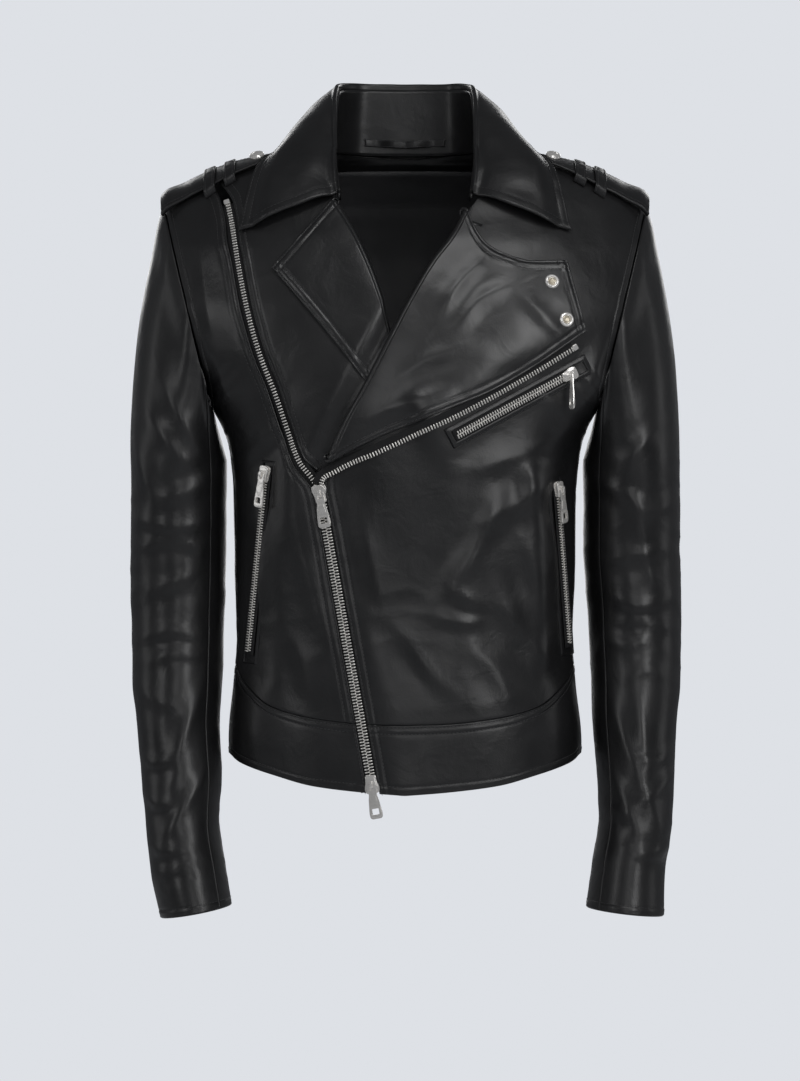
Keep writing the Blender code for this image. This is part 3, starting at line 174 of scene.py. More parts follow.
SMALL_CHAIN_HALF = 3.5
PULL_LENGTH = 31.0


def smooth(table):
    """Shape-keeping cubic through (key, value, ...) rows, held at its ends."""
    t = np.array(sorted(table), float)
    k, v = t[:, 0], t[:, 1:]
    d = np.diff(v, axis=0) / np.diff(k)[:, None]
    m = np.zeros_like(v)
    m[0], m[-1] = d[0], d[-1]
    h = np.diff(k)[:, None]
    same = d[:-1] * d[1:] > 0
    w1, w2 = 2 * h[1:] + h[:-1], h[1:] + 2 * h[:-1]
    with np.errstate(divide="ignore", invalid="ignore"):
        hm = (w1 + w2) / (w1 / d[:-1] + w2 / d[1:])
    m[1:-1] = np.where(same, hm, 0.0)

    def f(x):
        x = np.clip(np.asarray(x, float), k[0], k[-1])
        i = np.clip(np.searchsorted(k, x) - 1, 0, len(k) - 2)
        hh = k[i + 1] - k[i]
        s = ((x - k[i]) / hh)[..., None]
        hh = hh[..., None]
        return (
            v[i] * (1 + 2 * s) * (1 - s) ** 2
            + m[i] * hh * s * (1 - s) ** 2
            + v[i + 1] * s * s * (3 - 2 * s)
            + m[i + 1] * hh * s * s * (s - 1)
        )

    return f


# level z: half width, front depth, back depth, centre y, roundness of the ring
TORSO = smooth([
    (-640, 158, 108, 102, -6, 2.3),
    (-575, 161, 110, 102, -6, 2.3),
    (-529, 162, 110, 100, -6, 2.3),
    (-474, 157, 109, 95, -5, 2.3),
    (-437, 154, 109, 92, -4, 2.3),
    (-363, 156, 112, 92, -3, 2.3),
    (-300, 157, 116, 98, -2, 2.3),
    (-262, 161, 119, 103, -1, 2.3),
    (-228, 174, 121, 108, 0, 2.3),
    (-200, 197, 120, 111, 1, 2.2),
    (-170, 222, 118, 113, 3, 2.15),
    (-130, 241, 112, 113, 5, 2.1),
    (-80, 240, 99, 108, 8, 2.05),
    (-50, 229, 85, 98, 9, 2.0),
    (-39, 222, 80, 93, 9, 2.0),
    (-29, 212, 75, 89, 9, 2.0),
    (-19, 198, 70, 84, 8, 2.0),
    (-9, 177, 64, 79, 7, 2.0),
    (0, 150, 57, 73, 6, 2.0),
    (7, 118, 51.5, 68, 5.5, 2.0),
    (13, 88, 47, 63.5, 5, 2.0),
    (24, 66, 44, 60, 5, 2.0),
])


def y_ring(x, z):
    a, b, _, yc, n = np.moveaxis(TORSO(z), -1, 0)
    return yc - b * (1 - np.clip(np.abs(x) / a, 0, 0.999) ** n) ** (1 / n)


def flat_frame(p, q):
    """Direction, length and cross slope of the plane strip between p and q."""
    p, q = np.array(p), np.array(q)
    d = q - p
    length = np.hypot(*d)
    d = d / length
    mid = (p + q) / 2
    c = np.array([-d[1], d[0]])
    lo, hi = mid - c * 6, mid + c * 6
    slope = (y_ring(hi[0], hi[1]) - y_ring(lo[0], lo[1])) / 12
    return d, length, float(slope)


def flat_push(x, z):
    """How far the front is moved so that each straight zip has a plane strip under it."""
    out = np.zeros(np.broadcast(x, z).shape)
    for p, q, reach in FLATS:
        d, length, slope = flat_frame(p, q)
        s = (x - p[0]) * d[0] + (z - p[1]) * d[1]
        off = (x - p[0]) * -d[1] + (z - p[1]) * d[0]
        ya, yb = y_ring(np.array(p[0]), np.array(p[1])), y_ring(np.array(q[0]), np.array(q[1]))
        want = ya + (yb - ya) * s / length + slope * off
        far = np.maximum(0, np.maximum(-s - 12, s - length - 12))
        side = np.maximum(0, np.abs(off) - FLAT_HALF)
        w = np.exp(-((side / reach) ** 2) - (far / 14.0) ** 2)
        out = out + w * (want - y_ring(x, z) - out)
    return out


def torso(phi, z):
    """Outer face of the shell; phi in degrees, 0 centre front, 90 wearer's left, 180 back."""
    phi, z = np.broadcast_arrays(np.asarray(phi, float), np.asarray(z, float))
    a, bf, bb, yc, n = np.moveaxis(TORSO(z), -1, 0)
    p = np.radians(phi)
    s, c = np.sin(p), np.cos(p)
    b = np.where(c > 0, bf, bb)
    r = ((np.abs(s) / a) ** n + (np.abs(c) / b) ** n) ** (-1 / n)
    x, y = r * s, yc - r * c
    y = y + flat_push(x, z) * np.clip(c * 6, 0, 1)
    return np.stack([x, y, z], -1)


def phi_front(x, z):
    x, z = np.broadcast_arrays(np.asarray(x, float), np.asarray(z, float))
    a, b, _, _, n = np.moveaxis(TORSO(z), -1, 0)
    q = np.clip(np.abs(x) / a, 0, 0.99999)
    return np.degrees(np.arctan2(x, b * (1 - q**n) ** (1 / n)))


def normal(phi, z):
    du = torso(phi + 0.4, z) - torso(phi - 0.4, z)
    dv = torso(phi, z + 1.2) - torso(phi, z - 1.2)
    n = np.cross(du, dv)
    return n / np.maximum(np.linalg.norm(n, axis=-1, keepdims=True), 1e-9)


def shell(phi, z, off=0.0):
    return torso(phi, z) + normal(phi, z) * np.asarray(off, float)[..., None]


def front(x, z, off=0.0):
    x, z = np.broadcast_arrays(np.asarray(x, float), np.asarray(z, float))
    return shell(phi_front(x, z), z, off)


def arm_x(z):
    return ARM_X + ARM_SLOPE * np.asarray(z, float)


def edge_level(lo, hi):
    def f(z):
        return float(TORSO(np.array(z))[0] - arm_x(z))

    for _ in range(60):
        mid = (lo + hi) / 2
        if (f(lo) > 0) == (f(mid) > 0):
            lo = mid
        else:
            hi = mid
    return (lo + hi) / 2


Z_PIT, Z_TIP = edge_level(-262, -180), edge_level(-60, -20)


def phi_arm(z, back=False):
    """Angle of the armhole edge at level z on the wearer's left."""
    z = np.asarray(z, float)
    a, bf, bb, yc, n = np.moveaxis(TORSO(z), -1, 0)
    b = bb if back else bf
    q = np.clip(arm_x(z) / a, 0, 1)
    ang = np.degrees(np.arctan2(np.minimum(arm_x(z), a), b * (1 - q**n) ** (1 / n)))
    ang = np.where((z > Z_PIT) & (z < Z_TIP), ang, 90.0)
    return 180 - ang if back else ang



# ---------------------------------------------------------------- seam lines
WAIST = smooth([(0, -511), (18, -510), (40, -505), (57, -495), (72, -474), (84, -459), (120, -452), (180, -450)])
HEM = smooth([(0, -574), (18, -571.5), (40, -566), (57, -556), (72, -547), (84, -540), (120, -542), (180, -548)])
NECK = smooth([(0, -60), (40, -40.5), (46, -30.5), (52, -14), (59, -0.6), (66, 7.3), (80, 13.4), (92, 17), (120, 15.4), (180, 11.4)])


def wrap_phi(phi):
    p = np.abs((np.asarray(phi, float) + 180) % 360 - 180)
    return p


def waist(phi):
    return WAIST(wrap_phi(phi))[..., 0]


def hem(phi):
    return HEM(wrap_phi(phi))[..., 0]


def neck(phi):
    return NECK(wrap_phi(phi))[..., 0]


def zip_x(z):
    t = (np.asarray(z, float) - ZIP_TOP[1]) / (ZIP_END[1] - ZIP_TOP[1])
    return ZIP_TOP[0] + t * (ZIP_END[0] - ZIP_TOP[0])


def zip_phi(z, side):
    """Angle of the line that runs beside the closed chain, side mm to the wearer's left of it."""
    return phi_front(zip_x(z) + side * 1.02, z)


ROLL_L = [(55.0, -46.0), (47, -68), (26, -96), (4, -133), (-11, -162), (-36, -210), (-50, -235), (-65, -268), (-73, -286)]
ROLL_R = [(-60.0, -38.0), (-40, -79), (-21, -130), (-11, -166)]
STRING_R = [(-81.0, -298.0), (-96, -274), (-108, -241), (-118, -212), (-130, -182), (-139, -153), (-147, -119), (-153, -87), (-158, -57), (-162, -38)]
STRING_L = [(-74.0, -290.0), (-63, -283), (-48, -275), (-28, -267), (13, -248), (39, -236), (71, -219), (114, -194), (151, -171)]

A84 = SIDE_PHI
SIDE_GAP = 0.75 * SEAM / 2.7  # degrees either side of the side seam


def to_phi(path):
    p = np.asarray(path, float)
    return np.stack([phi_front(p[:, 0], p[:, 1]), p[:, 1]], -1)


def side_edge(sign, front_side):
    """Side seam then armhole then, at the top, the shoulder tip; runs upwards, for Coons patches."""
    out = []
    start = float(waist(A84)) + SEAM / 2
    for k in range(19):
        zz = start + k / 18 * (Z_PIT - 2.5 - start)
        s = min(1.0, max(0.0, (zz + 330) / (Z_PIT + 330)))
        ph = A84 + (90 - A84) * s * s * (3 - 2 * s)
        out.append((ph + (-SIDE_GAP if front_side else SIDE_GAP), zz))
    levels = Z_PIT + (Z_TIP - Z_PIT) * (1 - np.cos(np.linspace(0.12, math.pi - 0.06, 11))) / 2
    for z in levels:
        out.append((float(phi_arm(z, not front_side)), float(z)))
    p = np.array(out)
    p[:, 0] *= sign
    return p



SLEEVE_L = smooth([
    (-271, 208.5, 5, 44.5, 66, 0), (-345, 208.5, 4, 44.5, 60, 0), (-410, 211, 2, 43, 56, 0), (-474, 212, -6, 41, 54, 0),
    (-511, 210.5, -13, 38.5, 52, 0), (-566, 211, -25, 35, 49, 0), (-603, 210, -33, 33.5, 47, 0), (-640, 204, -41, 33.5, 46, 1), (-682, 200, -50, 35.5, 46, 4),
])
SLEEVE_R = smooth([
    (-271, 208.5, 5, 44.5, 66, 0), (-345, 208.5, 4, 44.0, 60, 0), (-410, 209, 2, 43, 56, 0), (-474, 209, -6, 41.5, 54, 0),
    (-511, 208, -13, 38, 52, 0), (-566, 204, -25, 36.5, 49, 0), (-603, 203, -33, 33.5, 47, 0), (-640, 198, -41, 34, 46, 3), (-682, 190, -50, 32.5, 46, 6),
])
CUFF_Z = -682.0


def sleeve_point(sign, psi, t, off=0.0):
    """Sleeve surface; psi 0 outer, 90 front, 180 inner; t 0 at the armhole, 1 at the first ring, 2 at the cuff."""
    psi, t = np.broadcast_arrays(np.asarray(psi, float), np.asarray(t, float))
    table = SLEEVE_L if sign > 0 else SLEEVE_R
    zm, hz = (Z_PIT + Z_TIP) / 2, (Z_TIP - Z_PIT) / 2 - 0.4
    p = np.radians(psi)
    za = zm + hz * np.cos(p)
    ph = np.where(np.sin(p) >= 0, phi_arm(za), phi_arm(za, True))
    A = torso(ph, za) + np.array([0.971, 0, -0.238]) * 0.9
    A[..., 0] = arm_x(za) + 0.9
    z = np.where(t <= 1, -271.0, -271 + (CUFF_Z + 271) * np.clip(t - 1, 0, 1))
    xc, yc, hx, hy, tilt = np.moveaxis(table(z), -1, 0)
    B = np.stack([xc + hx * np.cos(p), yc - hy * np.sin(p), z - tilt * np.cos(p)], -1)
    s = np.clip(t, 0, 1)
    outer = (1 + np.cos(p)) / 2
    f = (1 - outer) * s + outer * (1 - (1 - s) ** 2.1)
    g = s * s * (3 - 2 * s)
    g = 0.5 * g + 0.5 * s
    P = np.stack([A[..., 0] + (B[..., 0] - A[..., 0]) * f, A[..., 1] + (B[..., 1] - A[..., 1]) * g, A[..., 2] + (B[..., 2] - A[..., 2]) * s], -1)
    P = np.where((t > 1)[..., None], B, P)
    P[..., 0] *= sign
    return P


def sleeve(sign):
    def surf(psi, t, off):
        du = sleeve_point(sign, psi + 1, t) - sleeve_point(sign, psi - 1, t)
        dv = sleeve_point(sign, psi, np.minimum(t + 0.01, 2.0)) - sleeve_point(sign, psi, np.maximum(t - 0.01, 0.0))
        n = np.cross(du, dv) * sign
        n = n / np.maximum(np.linalg.norm(n, axis=-1, keepdims=True), 1e-9)
        near = np.clip(1 - t / 0.12, 0, 1)[..., None]
        # at the armhole the thickness lies in the armhole's own plane
        axis = np.array([0.971 * sign, 0, -0.238])
        flat = n - axis * (n @ axis)[..., None]
        flat = flat / np.maximum(np.linalg.norm(flat, axis=-1, keepdims=True), 1e-9)
        n = n * (1 - near) + flat * near
        n = n / np.maximum(np.linalg.norm(n, axis=-1, keepdims=True), 1e-9)
        return sleeve_point(sign, psi, t) + n * np.asarray(off, float)[..., None]

    return surf



# u runs from the wearer's right gorge (-1) round the back (0) to the left gorge (1)
FOLD = smooth([(0, 0, 66, 76), (0.25, 44, 54, 77), (0.5, 64, 22, 73), (0.7, 67, -12, 50), (0.86, 66, -44, 6), (1, 62, -66, -33)])
EDGE = smooth([(0, 0, 88, -8), (0.25, 62, 80, -3), (0.42, 92, 54, 11), (0.55, 105, 26, 20), (0.66, 112, 2, 17), (0.77, 121, -20, 9), (0.87, 136, -37, -8), (1, 149, -62, -68)])
END = smooth([(0, 62, -66, -33), (0.12, 70, -71, -35), (0.4, 96, -76, -47), (0.7, 122, -76, -57), (1, 149, -62, -68)])
STAND = smooth([(0, 0, 66, 15), (0.25, 42, 57, 15.5), (0.5, 67, 27, 16), (0.7, 73, -8, 13), (0.86, 66, -38, -6), (1, 58, -60, -36)])


def both(f, u):
    u = np.asarray(u, float)
    p = f(np.abs(u))
    return np.stack([p[..., 0] * np.sign(u + 1e-12), p[..., 1], p[..., 2]], -1)


def collar_leaf_point(u, v):
    F, E = both(FOLD, u), both(EDGE, u)
    P = F + (E - F) * v[..., None]
    end = END(v)
    end = np.stack([end[..., 0] * np.sign(u + 1e-12), end[..., 1], end[..., 2]], -1)
    Fe, Ee = both(FOLD, np.sign(u + 1e-12)), both(EDGE, np.sign(u + 1e-12))
    w = np.clip((np.abs(u) - 0.55) / 0.45, 0, 1) ** 1.5
    P = P + w[..., None] * (end - (Fe + (Ee - Fe) * v[..., None]))
    # roll over the top: rises and turns out before it falls
    out = P - np.array([0, 5.0, 0])
    out[..., 2] = 0
    out = out / np.maximum(np.linalg.norm(out, axis=-1, keepdims=True), 1e-9)
    bulge = np.sin(np.pi * v) ** 0.8 * (7.0 - 3.0 * np.abs(u))
    P = P + out * bulge[..., None] + np.array([0, 0, 1.0]) * (np.sin(np.pi * v) * 5.0)[..., None]
    return P


def free_normal(f, u, v):
    du = f(u + 0.004, v) - f(u - 0.004, v)
    dv = f(u, v + 0.01) - f(u, v - 0.01)
    n = np.cross(du, dv)
    return n / np.maximum(np.linalg.norm(n, axis=-1, keepdims=True), 1e-9)


def inside(P):
    """Above 1 outside the body surface, below 1 inside it."""
    a, bf, bb, yc, n = np.moveaxis(TORSO(np.clip(P[..., 2], -300.0, 23.5)), -1, 0)
    b = np.where(P[..., 1] < yc, bf, bb)
    return ((np.abs(P[..., 0]) / a) ** n + (np.abs(P[..., 1] - yc) / b) ** n) ** (1 / n)


def lifted(P, clear):
    """Moves points out so they stay clear of the shoulder surface by at least clear mm."""
    P = P.copy()
    low = P[..., 2] < 23.0
    for _ in range(6):
        slope = np.stack([(inside(P + e) - inside(P - e)) / 1.0 for e in np.eye(3) * 0.5], -1)
        steep = np.maximum(np.linalg.norm(slope, axis=-1), 1e-6)
        gap = (inside(P) - 1) / steep
        lift = np.where(low, np.clip(clear - gap, 0, 4.0), 0)
        P = P + slope / steep[..., None] * lift[..., None]
    return P


def stand_point(u, v):
    S, F = both(STAND, u), both(FOLD, u)
    c = np.array([0, 5.0, 0.0])
    F = F - np.array([0, 0, 4.6])
    out = F - c
    out[..., 2] = 0
    out = out / np.maximum(np.linalg.norm(out, axis=-1, keepdims=True), 1e-9)
    F = F - out * 3.2
    return S + (F - S) * v[..., None]



def roof(x, y):
    """Level of the shoulder surface above (x, y)."""
    x, y = np.broadcast_arrays(np.asarray(x, float), np.asarray(y, float))
    lo, hi = np.full(x.shape, -130.0), np.full(x.shape, 23.9)
    for _ in range(50):
        mid = (lo + hi) / 2
        a, bf, bb, yc, n = np.moveaxis(TORSO(mid), -1, 0)
        b = np.where(y < yc, bf, bb)
        q = (np.abs(x) / a) ** n + (np.abs(y - yc) / b) ** n
        lo, hi = np.where(q <= 1, mid, lo), np.where(q <= 1, hi, mid)
    return (lo + hi) / 2


def roof_point(x, y, off):
    z = roof(x, y)
    e = 3.0
    zx = (roof(x + e, y) - roof(x - e, y)) / (2 * e)
    zy = (roof(x, y + e) - roof(x, y - e)) / (2 * e)
    n = np.stack([-zx, -zy, np.ones_like(z)], -1)
    n /= np.linalg.norm(n, axis=-1, keepdims=True)
    return np.stack([x * np.ones_like(z), y * np.ones_like(z), z], -1) + n * np.asarray(off, float)[..., None]


STRAP_Y = smooth([(115, -14.5), (165, -13.0), (200, -5.5), (219, 1.0)])
HALF = smooth([(113, 14.5), (130, 15.0), (219, 18.0)])


def strap_rise(x):
    """Extra height where the strap's outer end stands on the head of the sleeve."""
    t = np.clip((np.asarray(x, float) - 196) / 20, 0, 1)
    return 3.6 * t * t * (3 - 2 * t)



def under_depth(x, z):
    """How deep the right front lies under the left front: 0 clear of it, 1 beneath it."""
    p = np.array([(float(zip_x(-640.0)), -640.0), (float(zip_x(-300)), -300.0)] + [tuple(q) for q in ROLL_L[::-1]])
    line = np.interp(z, p[:, 1], p[:, 0])
    d = (x - line) * 0.82
    above = np.clip((np.asarray(z, float) + 318) / 26, 0, 1)
    start = -22 * above - 40 * (1 - above)
    s = np.clip((d - start) / 18.0, 0, 1)
    return s * s * (3 - 2 * s)



def line_frame(p, q, along, height):
    """Origin on the plane strip, then unit vectors across (wearer's left), down the zip, and out."""
    a = front(np.array(p[0]), np.array(p[1]), np.array(0.0))
    b = front(np.array(q[0]), np.array(q[1]), np.array(0.0))
    d = (b - a) / np.linalg.norm(b - a)
    mid = (np.array(p) + np.array(q)) / 2
    n = normal(phi_front(mid[0], mid[1]), mid[1])
    n = n - d * (n @ d)
    n /= np.linalg.norm(n)
    across = np.cross(d, n)
    return a + d * along + n * height, across, d, n, float(np.linalg.norm(b - a))


along = lambda s: (ZIP_TOP[0] + (ZIP_END[0] - ZIP_TOP[0]) * s / 276.3, ZIP_TOP[1] + (ZIP_END[1] - ZIP_TOP[1]) * s / 276.3)


def beside(s, side):
    """(x, z) at s along the closed chain and side mm to the wearer's left of it."""
    x, z = along(s)
    d, _, _ = flat_frame(ZIP_TOP, ZIP_END)
    return x - d[1] * side, z + d[0] * side





def resample(points, t):
    p = np.asarray(points, float)
    if len(p) == 2:
        return p[0] + (p[1] - p[0]) * np.asarray(t)[:, None]
    s = np.concatenate([[0], np.cumsum(np.linalg.norm(np.diff(p, axis=0), axis=1))])
    f = smooth([(a, *b) for a, b in zip(s / s[-1], p)])
    return f(np.asarray(t))


def coons(low, top, left, right, u, v):
    lo, hi, le, ri = resample(low, u), resample(top, u), resample(left, v), resample(right, v)
    U, V = u[None, :, None], v[:, None, None]
    c00, c10, c01, c11 = lo[0], lo[-1], hi[0], hi[-1]
    return (
        (1 - V) * lo[None] + V * hi[None] + (1 - U) * le[:, None] + U * ri[:, None]
        - ((1 - U) * (1 - V) * c00 + U * (1 - V) * c10 + (1 - U) * V * c01 + U * V * c11)
    )


# ================================================================ noise and folds
def vnoise(P, seed=0):
    """Smooth value noise from -1 to 1; P is in cells."""
    P = np.asarray(P, float)
    i = np.floor(P).astype(np.int64)
    f = P - i
    f = f * f * f * (f * (f * 6 - 15) + 10)

    def h(dx, dy, dz):
        n = (i[..., 0] + dx) * 374761393 + (i[..., 1] + dy) * 668265263 + (i[..., 2] + dz) * 2147483647 + seed * 974634777
        n = (n ^ (n >> 13)) * 1274126177
        n = n & 0x7FFFFFFF
        n = (n ^ (n >> 16)) & 0xFFFF
        return n / 32767.5 - 1.0

    x, y, z = f[..., 0], f[..., 1], f[..., 2]
    c = {}
    for a in (0, 1):
        for b in (0, 1):
            c[a, b] = h(0, a, b) * (1 - x) + h(1, a, b) * x
    d0 = c[0, 0] * (1 - y) + c[1, 0] * y
    d1 = c[0, 1] * (1 - y) + c[1, 1] * y
    return d0 * (1 - z) + d1 * z


def ridged(P, seed=0):
    n = vnoise(P, seed)
    return (1 - np.abs(n)) ** 2 - 0.45


def fold_field(x, z, folds):
    """Soft ridges along lines; each fold is (points, height, width)."""
    out = np.zeros(x.shape)
    for pts, height, width in folds:
        p = resample(pts, np.linspace(0, 1, 9))
        best = np.full(x.shape, 1e9)
        where = np.zeros(x.shape)
        side = np.zeros(x.shape)
        lens = np.linalg.norm(np.diff(p, axis=0), axis=1)
        total, run = lens.sum(), 0.0
        for k in range(len(p) - 1):
            d = (p[k + 1] - p[k]) / max(lens[k], 1e-9)
            s = np.clip((x - p[k][0]) * d[0] + (z - p[k][1]) * d[1], 0, lens[k])
            px, pz = p[k][0] + s * d[0], p[k][1] + s * d[1]
            dist = np.hypot(x - px, z - pz)
            sg = np.sign((x - px) * -d[1] + (z - pz) * d[0])
            closer = dist < best
            best = np.where(closer, dist, best)
            where = np.where(closer, (run + s) / total, where)
            side = np.where(closer, sg, side)
            run += lens[k]
        fade = np.sin(np.pi * np.clip(where * 0.9 + 0.05, 0, 1)) ** 0.8
        fade = fade * np.exp(-((np.maximum(0, best - width * 3) / width) ** 2))
        signed = best * side
        w_ = width * 0.85
        out += height * fade * (1.12 * np.exp(-((np.abs(signed) / w_) ** 1.45)) - 0.5 * np.exp(-(((signed + 1.9 * w_) / (1.2 * w_)) ** 2)))
    return out


TORSO_FOLDS = [
    ([(86, -304), (66, -349), (40, -392)], 2.6, 11),
    ([(40, -388), (52, -395), (70, -405)], 1.6, 7),
    ([(28, -414), (48, -418), (68, -420)], 1.4, 6),
    ([(-16, -412), (4, -435), (17, -455), (31, -471), (46, -486)], 1.9, 9),
    ([(17, -518), (17, -545), (19, -568)], 1.2, 7),
    ([(52, -283), (104, -268), (150, -243)], 1.7, 10),
    ([(60, -332), (108, -308), (148, -276)], 2.0, 11),
    ([(-136, -300), (-128, -363), (-136, -425)], 1.8, 10),
    ([(-98, -327), (-86, -381), (-66, -440)], 1.7, 9),
    ([(-45, -308), (-30, -363), (-14, -408)], 1.6, 10),
    ([(84, -392), (113, -435), (146, -466)], 2.2, 12),
    ([(-152, -278), (-129, -254), (-100, -232)], 2.0, 9),
    ([(96, -330), (118, -372), (124, -420)], 1.6, 10),
    ([(-110, -420), (-92, -455), (-84, -490)], 1.6, 10),
    ([(60, -440), (86, -470), (96, -500)], 1.3, 9),
    ([(150, -232), (124, -214), (112, -206)], 1.4, 8),
    ([(-190, -150), (-168, -190), (-158, -240)], 1.8, 9),
    ([(184, -160), (170, -195), (160, -240)], 1.8, 9),
    ([(-186, -80), (-180, -130), (-172, -170)], 1.2, 9),
]
LAPEL_FOLDS = [
    ([(30, -148), (45, -119), (70, -92)], 2.4, 10),
    ([(43, -160), (68, -128), (96, -116)], 1.8, 9),
    ([(104, -124), (126, -146), (144, -164)], 1.3, 8),
    ([(-8, -202), (22, -182), (64, -168)], 1.5, 10),
    ([(-40, -240), (-10, -226), (30, -214)], 1.2, 8),
]
SLEEVE_R_FOLDS = [
    ([(-248, -250), (-239, -281), (-226, -315)], 2.4, 8), ([(-222, -196), (-203, -236), (-183, -270)], 2.6, 9),
    ([(-246, -325), (-207, -334), (-168, -325)], 2.6, 7), ([(-246, -351), (-212, -345), (-176, -354)], 2.2, 6),
    ([(-238, -392), (-215, -385), (-190, -376)], 2.6, 7), ([(-244, -437), (-212, -427), (-176, -437)], 2.4, 7),
    ([(-236, -455), (-207, -446), (-180, -449)], 2.0, 6), ([(-186, -482), (-197, -511), (-208, -545)], 2.4, 8),
    ([(-178, -555), (-198, -583), (-218, -614)], 2.6, 7), ([(-240, -541), (-228, -547), (-210, -541)], 2.2, 5.5),
    ([(-237, -576), (-221, -584), (-200, -577)], 2.4, 6), ([(-233, -620), (-216, -626), (-192, -624)], 2.2, 6),
    ([(-225, -649), (-203, -640), (-176, -646)], 1.6, 5), ([(-168, -278), (-194, -299), (-226, -310)], 2.4, 8),
    ([(-234, -230), (-216, -254), (-190, -285)], 2.2, 8), ([(-240, -480), (-222, -492), (-200, -494)], 1.8, 7),
]
SLEEVE_L_FOLDS = [
    ([(227, -246), (212, -262), (202, -278)], 2.2, 8), ([(210, -308), (214, -329), (218, -350)], 2.4, 8),
    ([(248, -308), (225, -318), (198, -311)], 2.6, 7), ([(216, -356), (223, -373), (229, -388)], 2.2, 7),
    ([(180, -365), (212, -359), (240, -350)], 2.2, 7), ([(186, -396), (212, -405), (242, -398)], 2.4, 7),
    ([(190, -415), (214, -418), (244, -426)], 2.0, 6), ([(222, -433), (203, -439), (180, -433)], 2.2, 6),
    ([(185, -484), (207, -547), (238, -624)], 2.8, 9), ([(212, -484), (216, -525), (222, -566)], 1.8, 8),
    ([(189, -558), (203, -590), (216, -624)], 2.0, 7), ([(242, -537), (225, -545), (206, -541)], 2.2, 5.5),
    ([(246, -554), (230, -570), (208, -582)], 2.2, 6), ([(242, -624), (221, -629), (192, -623)], 2.2, 6),
    ([(174, -578), (187, -590), (208, -594)], 2.2, 6), ([(164, -278), (189, -299), (220, -312)], 2.4, 8),
    ([(236, -470), (220, -462), (200, -468)], 1.8, 7),
]


def torso_disp(P, N):
    x, y, z = P[..., 0], P[..., 1], P[..., 2]
    wf = np.clip(-N[..., 1] * 1.6, 0, 1)
    wb = np.clip(N[..., 1] * 1.6, 0, 1)
    d = fold_field(x, z, TORSO_FOLDS) * wf
    low = np.clip((-z - 220) / 60, 0, 1) * np.clip((z + 520) / 40, 0, 1)
    d = d + 1.1 * vnoise(P / 62.0, 3) + 0.45 * vnoise(P / 27.0, 5)
    d = d + low * 0.8 * vnoise(np.stack([x / 26, y / 26, z / 110], -1), 7)
    band_ = np.exp(-(((z + 405) / 48) ** 2))
    d = d + (wb * 1.6 + 0.5) * band_ * ridged(np.stack([x / 60, y / 60, (z + 0.25 * np.abs(x)) / 21], -1), 9)
    upper = np.clip((z + 200) / 60, 0, 1)
    d = d + wb * upper * 0.9 * vnoise(np.stack([x / 55, y / 40, z / 45], -1), 11)
    pit = np.exp(-((np.hypot(np.abs(x) - 172, z + 226) / 42) ** 2))
    d = d + pit * 2.0 * ridged(np.stack([(np.abs(x) + z) / 15, y / 60, (z - np.abs(x)) / 60], -1), 13)
    return d


def sleeve_disp(sign):
    table = SLEEVE_R_FOLDS if sign < 0 else SLEEVE_L_FOLDS

    def f(P, N):
        x, y, z = P[..., 0], P[..., 1], P[..., 2]
        wf = np.clip(-N[..., 1] * 1.5 + 0.25, 0, 1)
        d = 0.74 * fold_field(x, z, table) * wf
        seed = 20 if sign > 0 else 40
        elbow = np.exp(-(((z + 385) / 95) ** 2))
        wrist = np.exp(-(((z + 600) / 55) ** 2))
        upper = np.exp(-(((z + 190) / 80) ** 2))
        a = sign * x - 208
        q = np.stack([x / 52, y / 52, (z + 0.3 * y * 0.6 + 0.25 * a) / 17], -1)
        d = d + (0.80 * elbow + 0.55 * wrist + 0.05) * ridged(q, seed)
        q2 = np.stack([x / 40, y / 40, (z - 0.55 * y) / 30], -1)
        d = d + (0.32 * elbow + 0.28 * wrist + 0.15 * upper + 0.1) * vnoise(q2, seed + 3)
        d = d + 0.5 * vnoise(P / 75.0, seed + 5)
        return d * np.clip((z + 684) / 26, 0.12, 1)

    return f


# ================================================================ meshes
def make_mesh(name, verts, polys, mat, smooth_shading=True):
    """verts in mm; polys is a list of integer arrays, one array per polygon size."""
    verts = np.asarray(verts, np.float64) * 0.001
    mesh = bpy.data.meshes.new(name)
    mesh.vertices.add(len(verts))
    mesh.vertices.foreach_set("co", verts.astype(np.float32).ravel())
    loops = np.concatenate([np.asarray(p, np.int32).ravel() for p in polys])
    sizes = np.concatenate([np.full(len(p), np.asarray(p).shape[1], np.int32) for p in polys])
    mesh.loops.add(len(loops))
    mesh.loops.foreach_set("vertex_index", loops)
    mesh.polygons.add(len(sizes))
    starts = np.concatenate([[0], np.cumsum(sizes)[:-1]]).astype(np.int32)
    mesh.polygons.foreach_set("loop_start", starts)
    mesh.update(calc_edges=True)
    mesh.validate()
    if smooth_shading:
        mesh.polygons.foreach_set("use_smooth", np.ones(len(mesh.polygons), bool))
    obj = bpy.data.objects.new(name, mesh)
    bpy.context.scene.collection.objects.link(obj)
    mesh.materials.append(mat)
    return obj


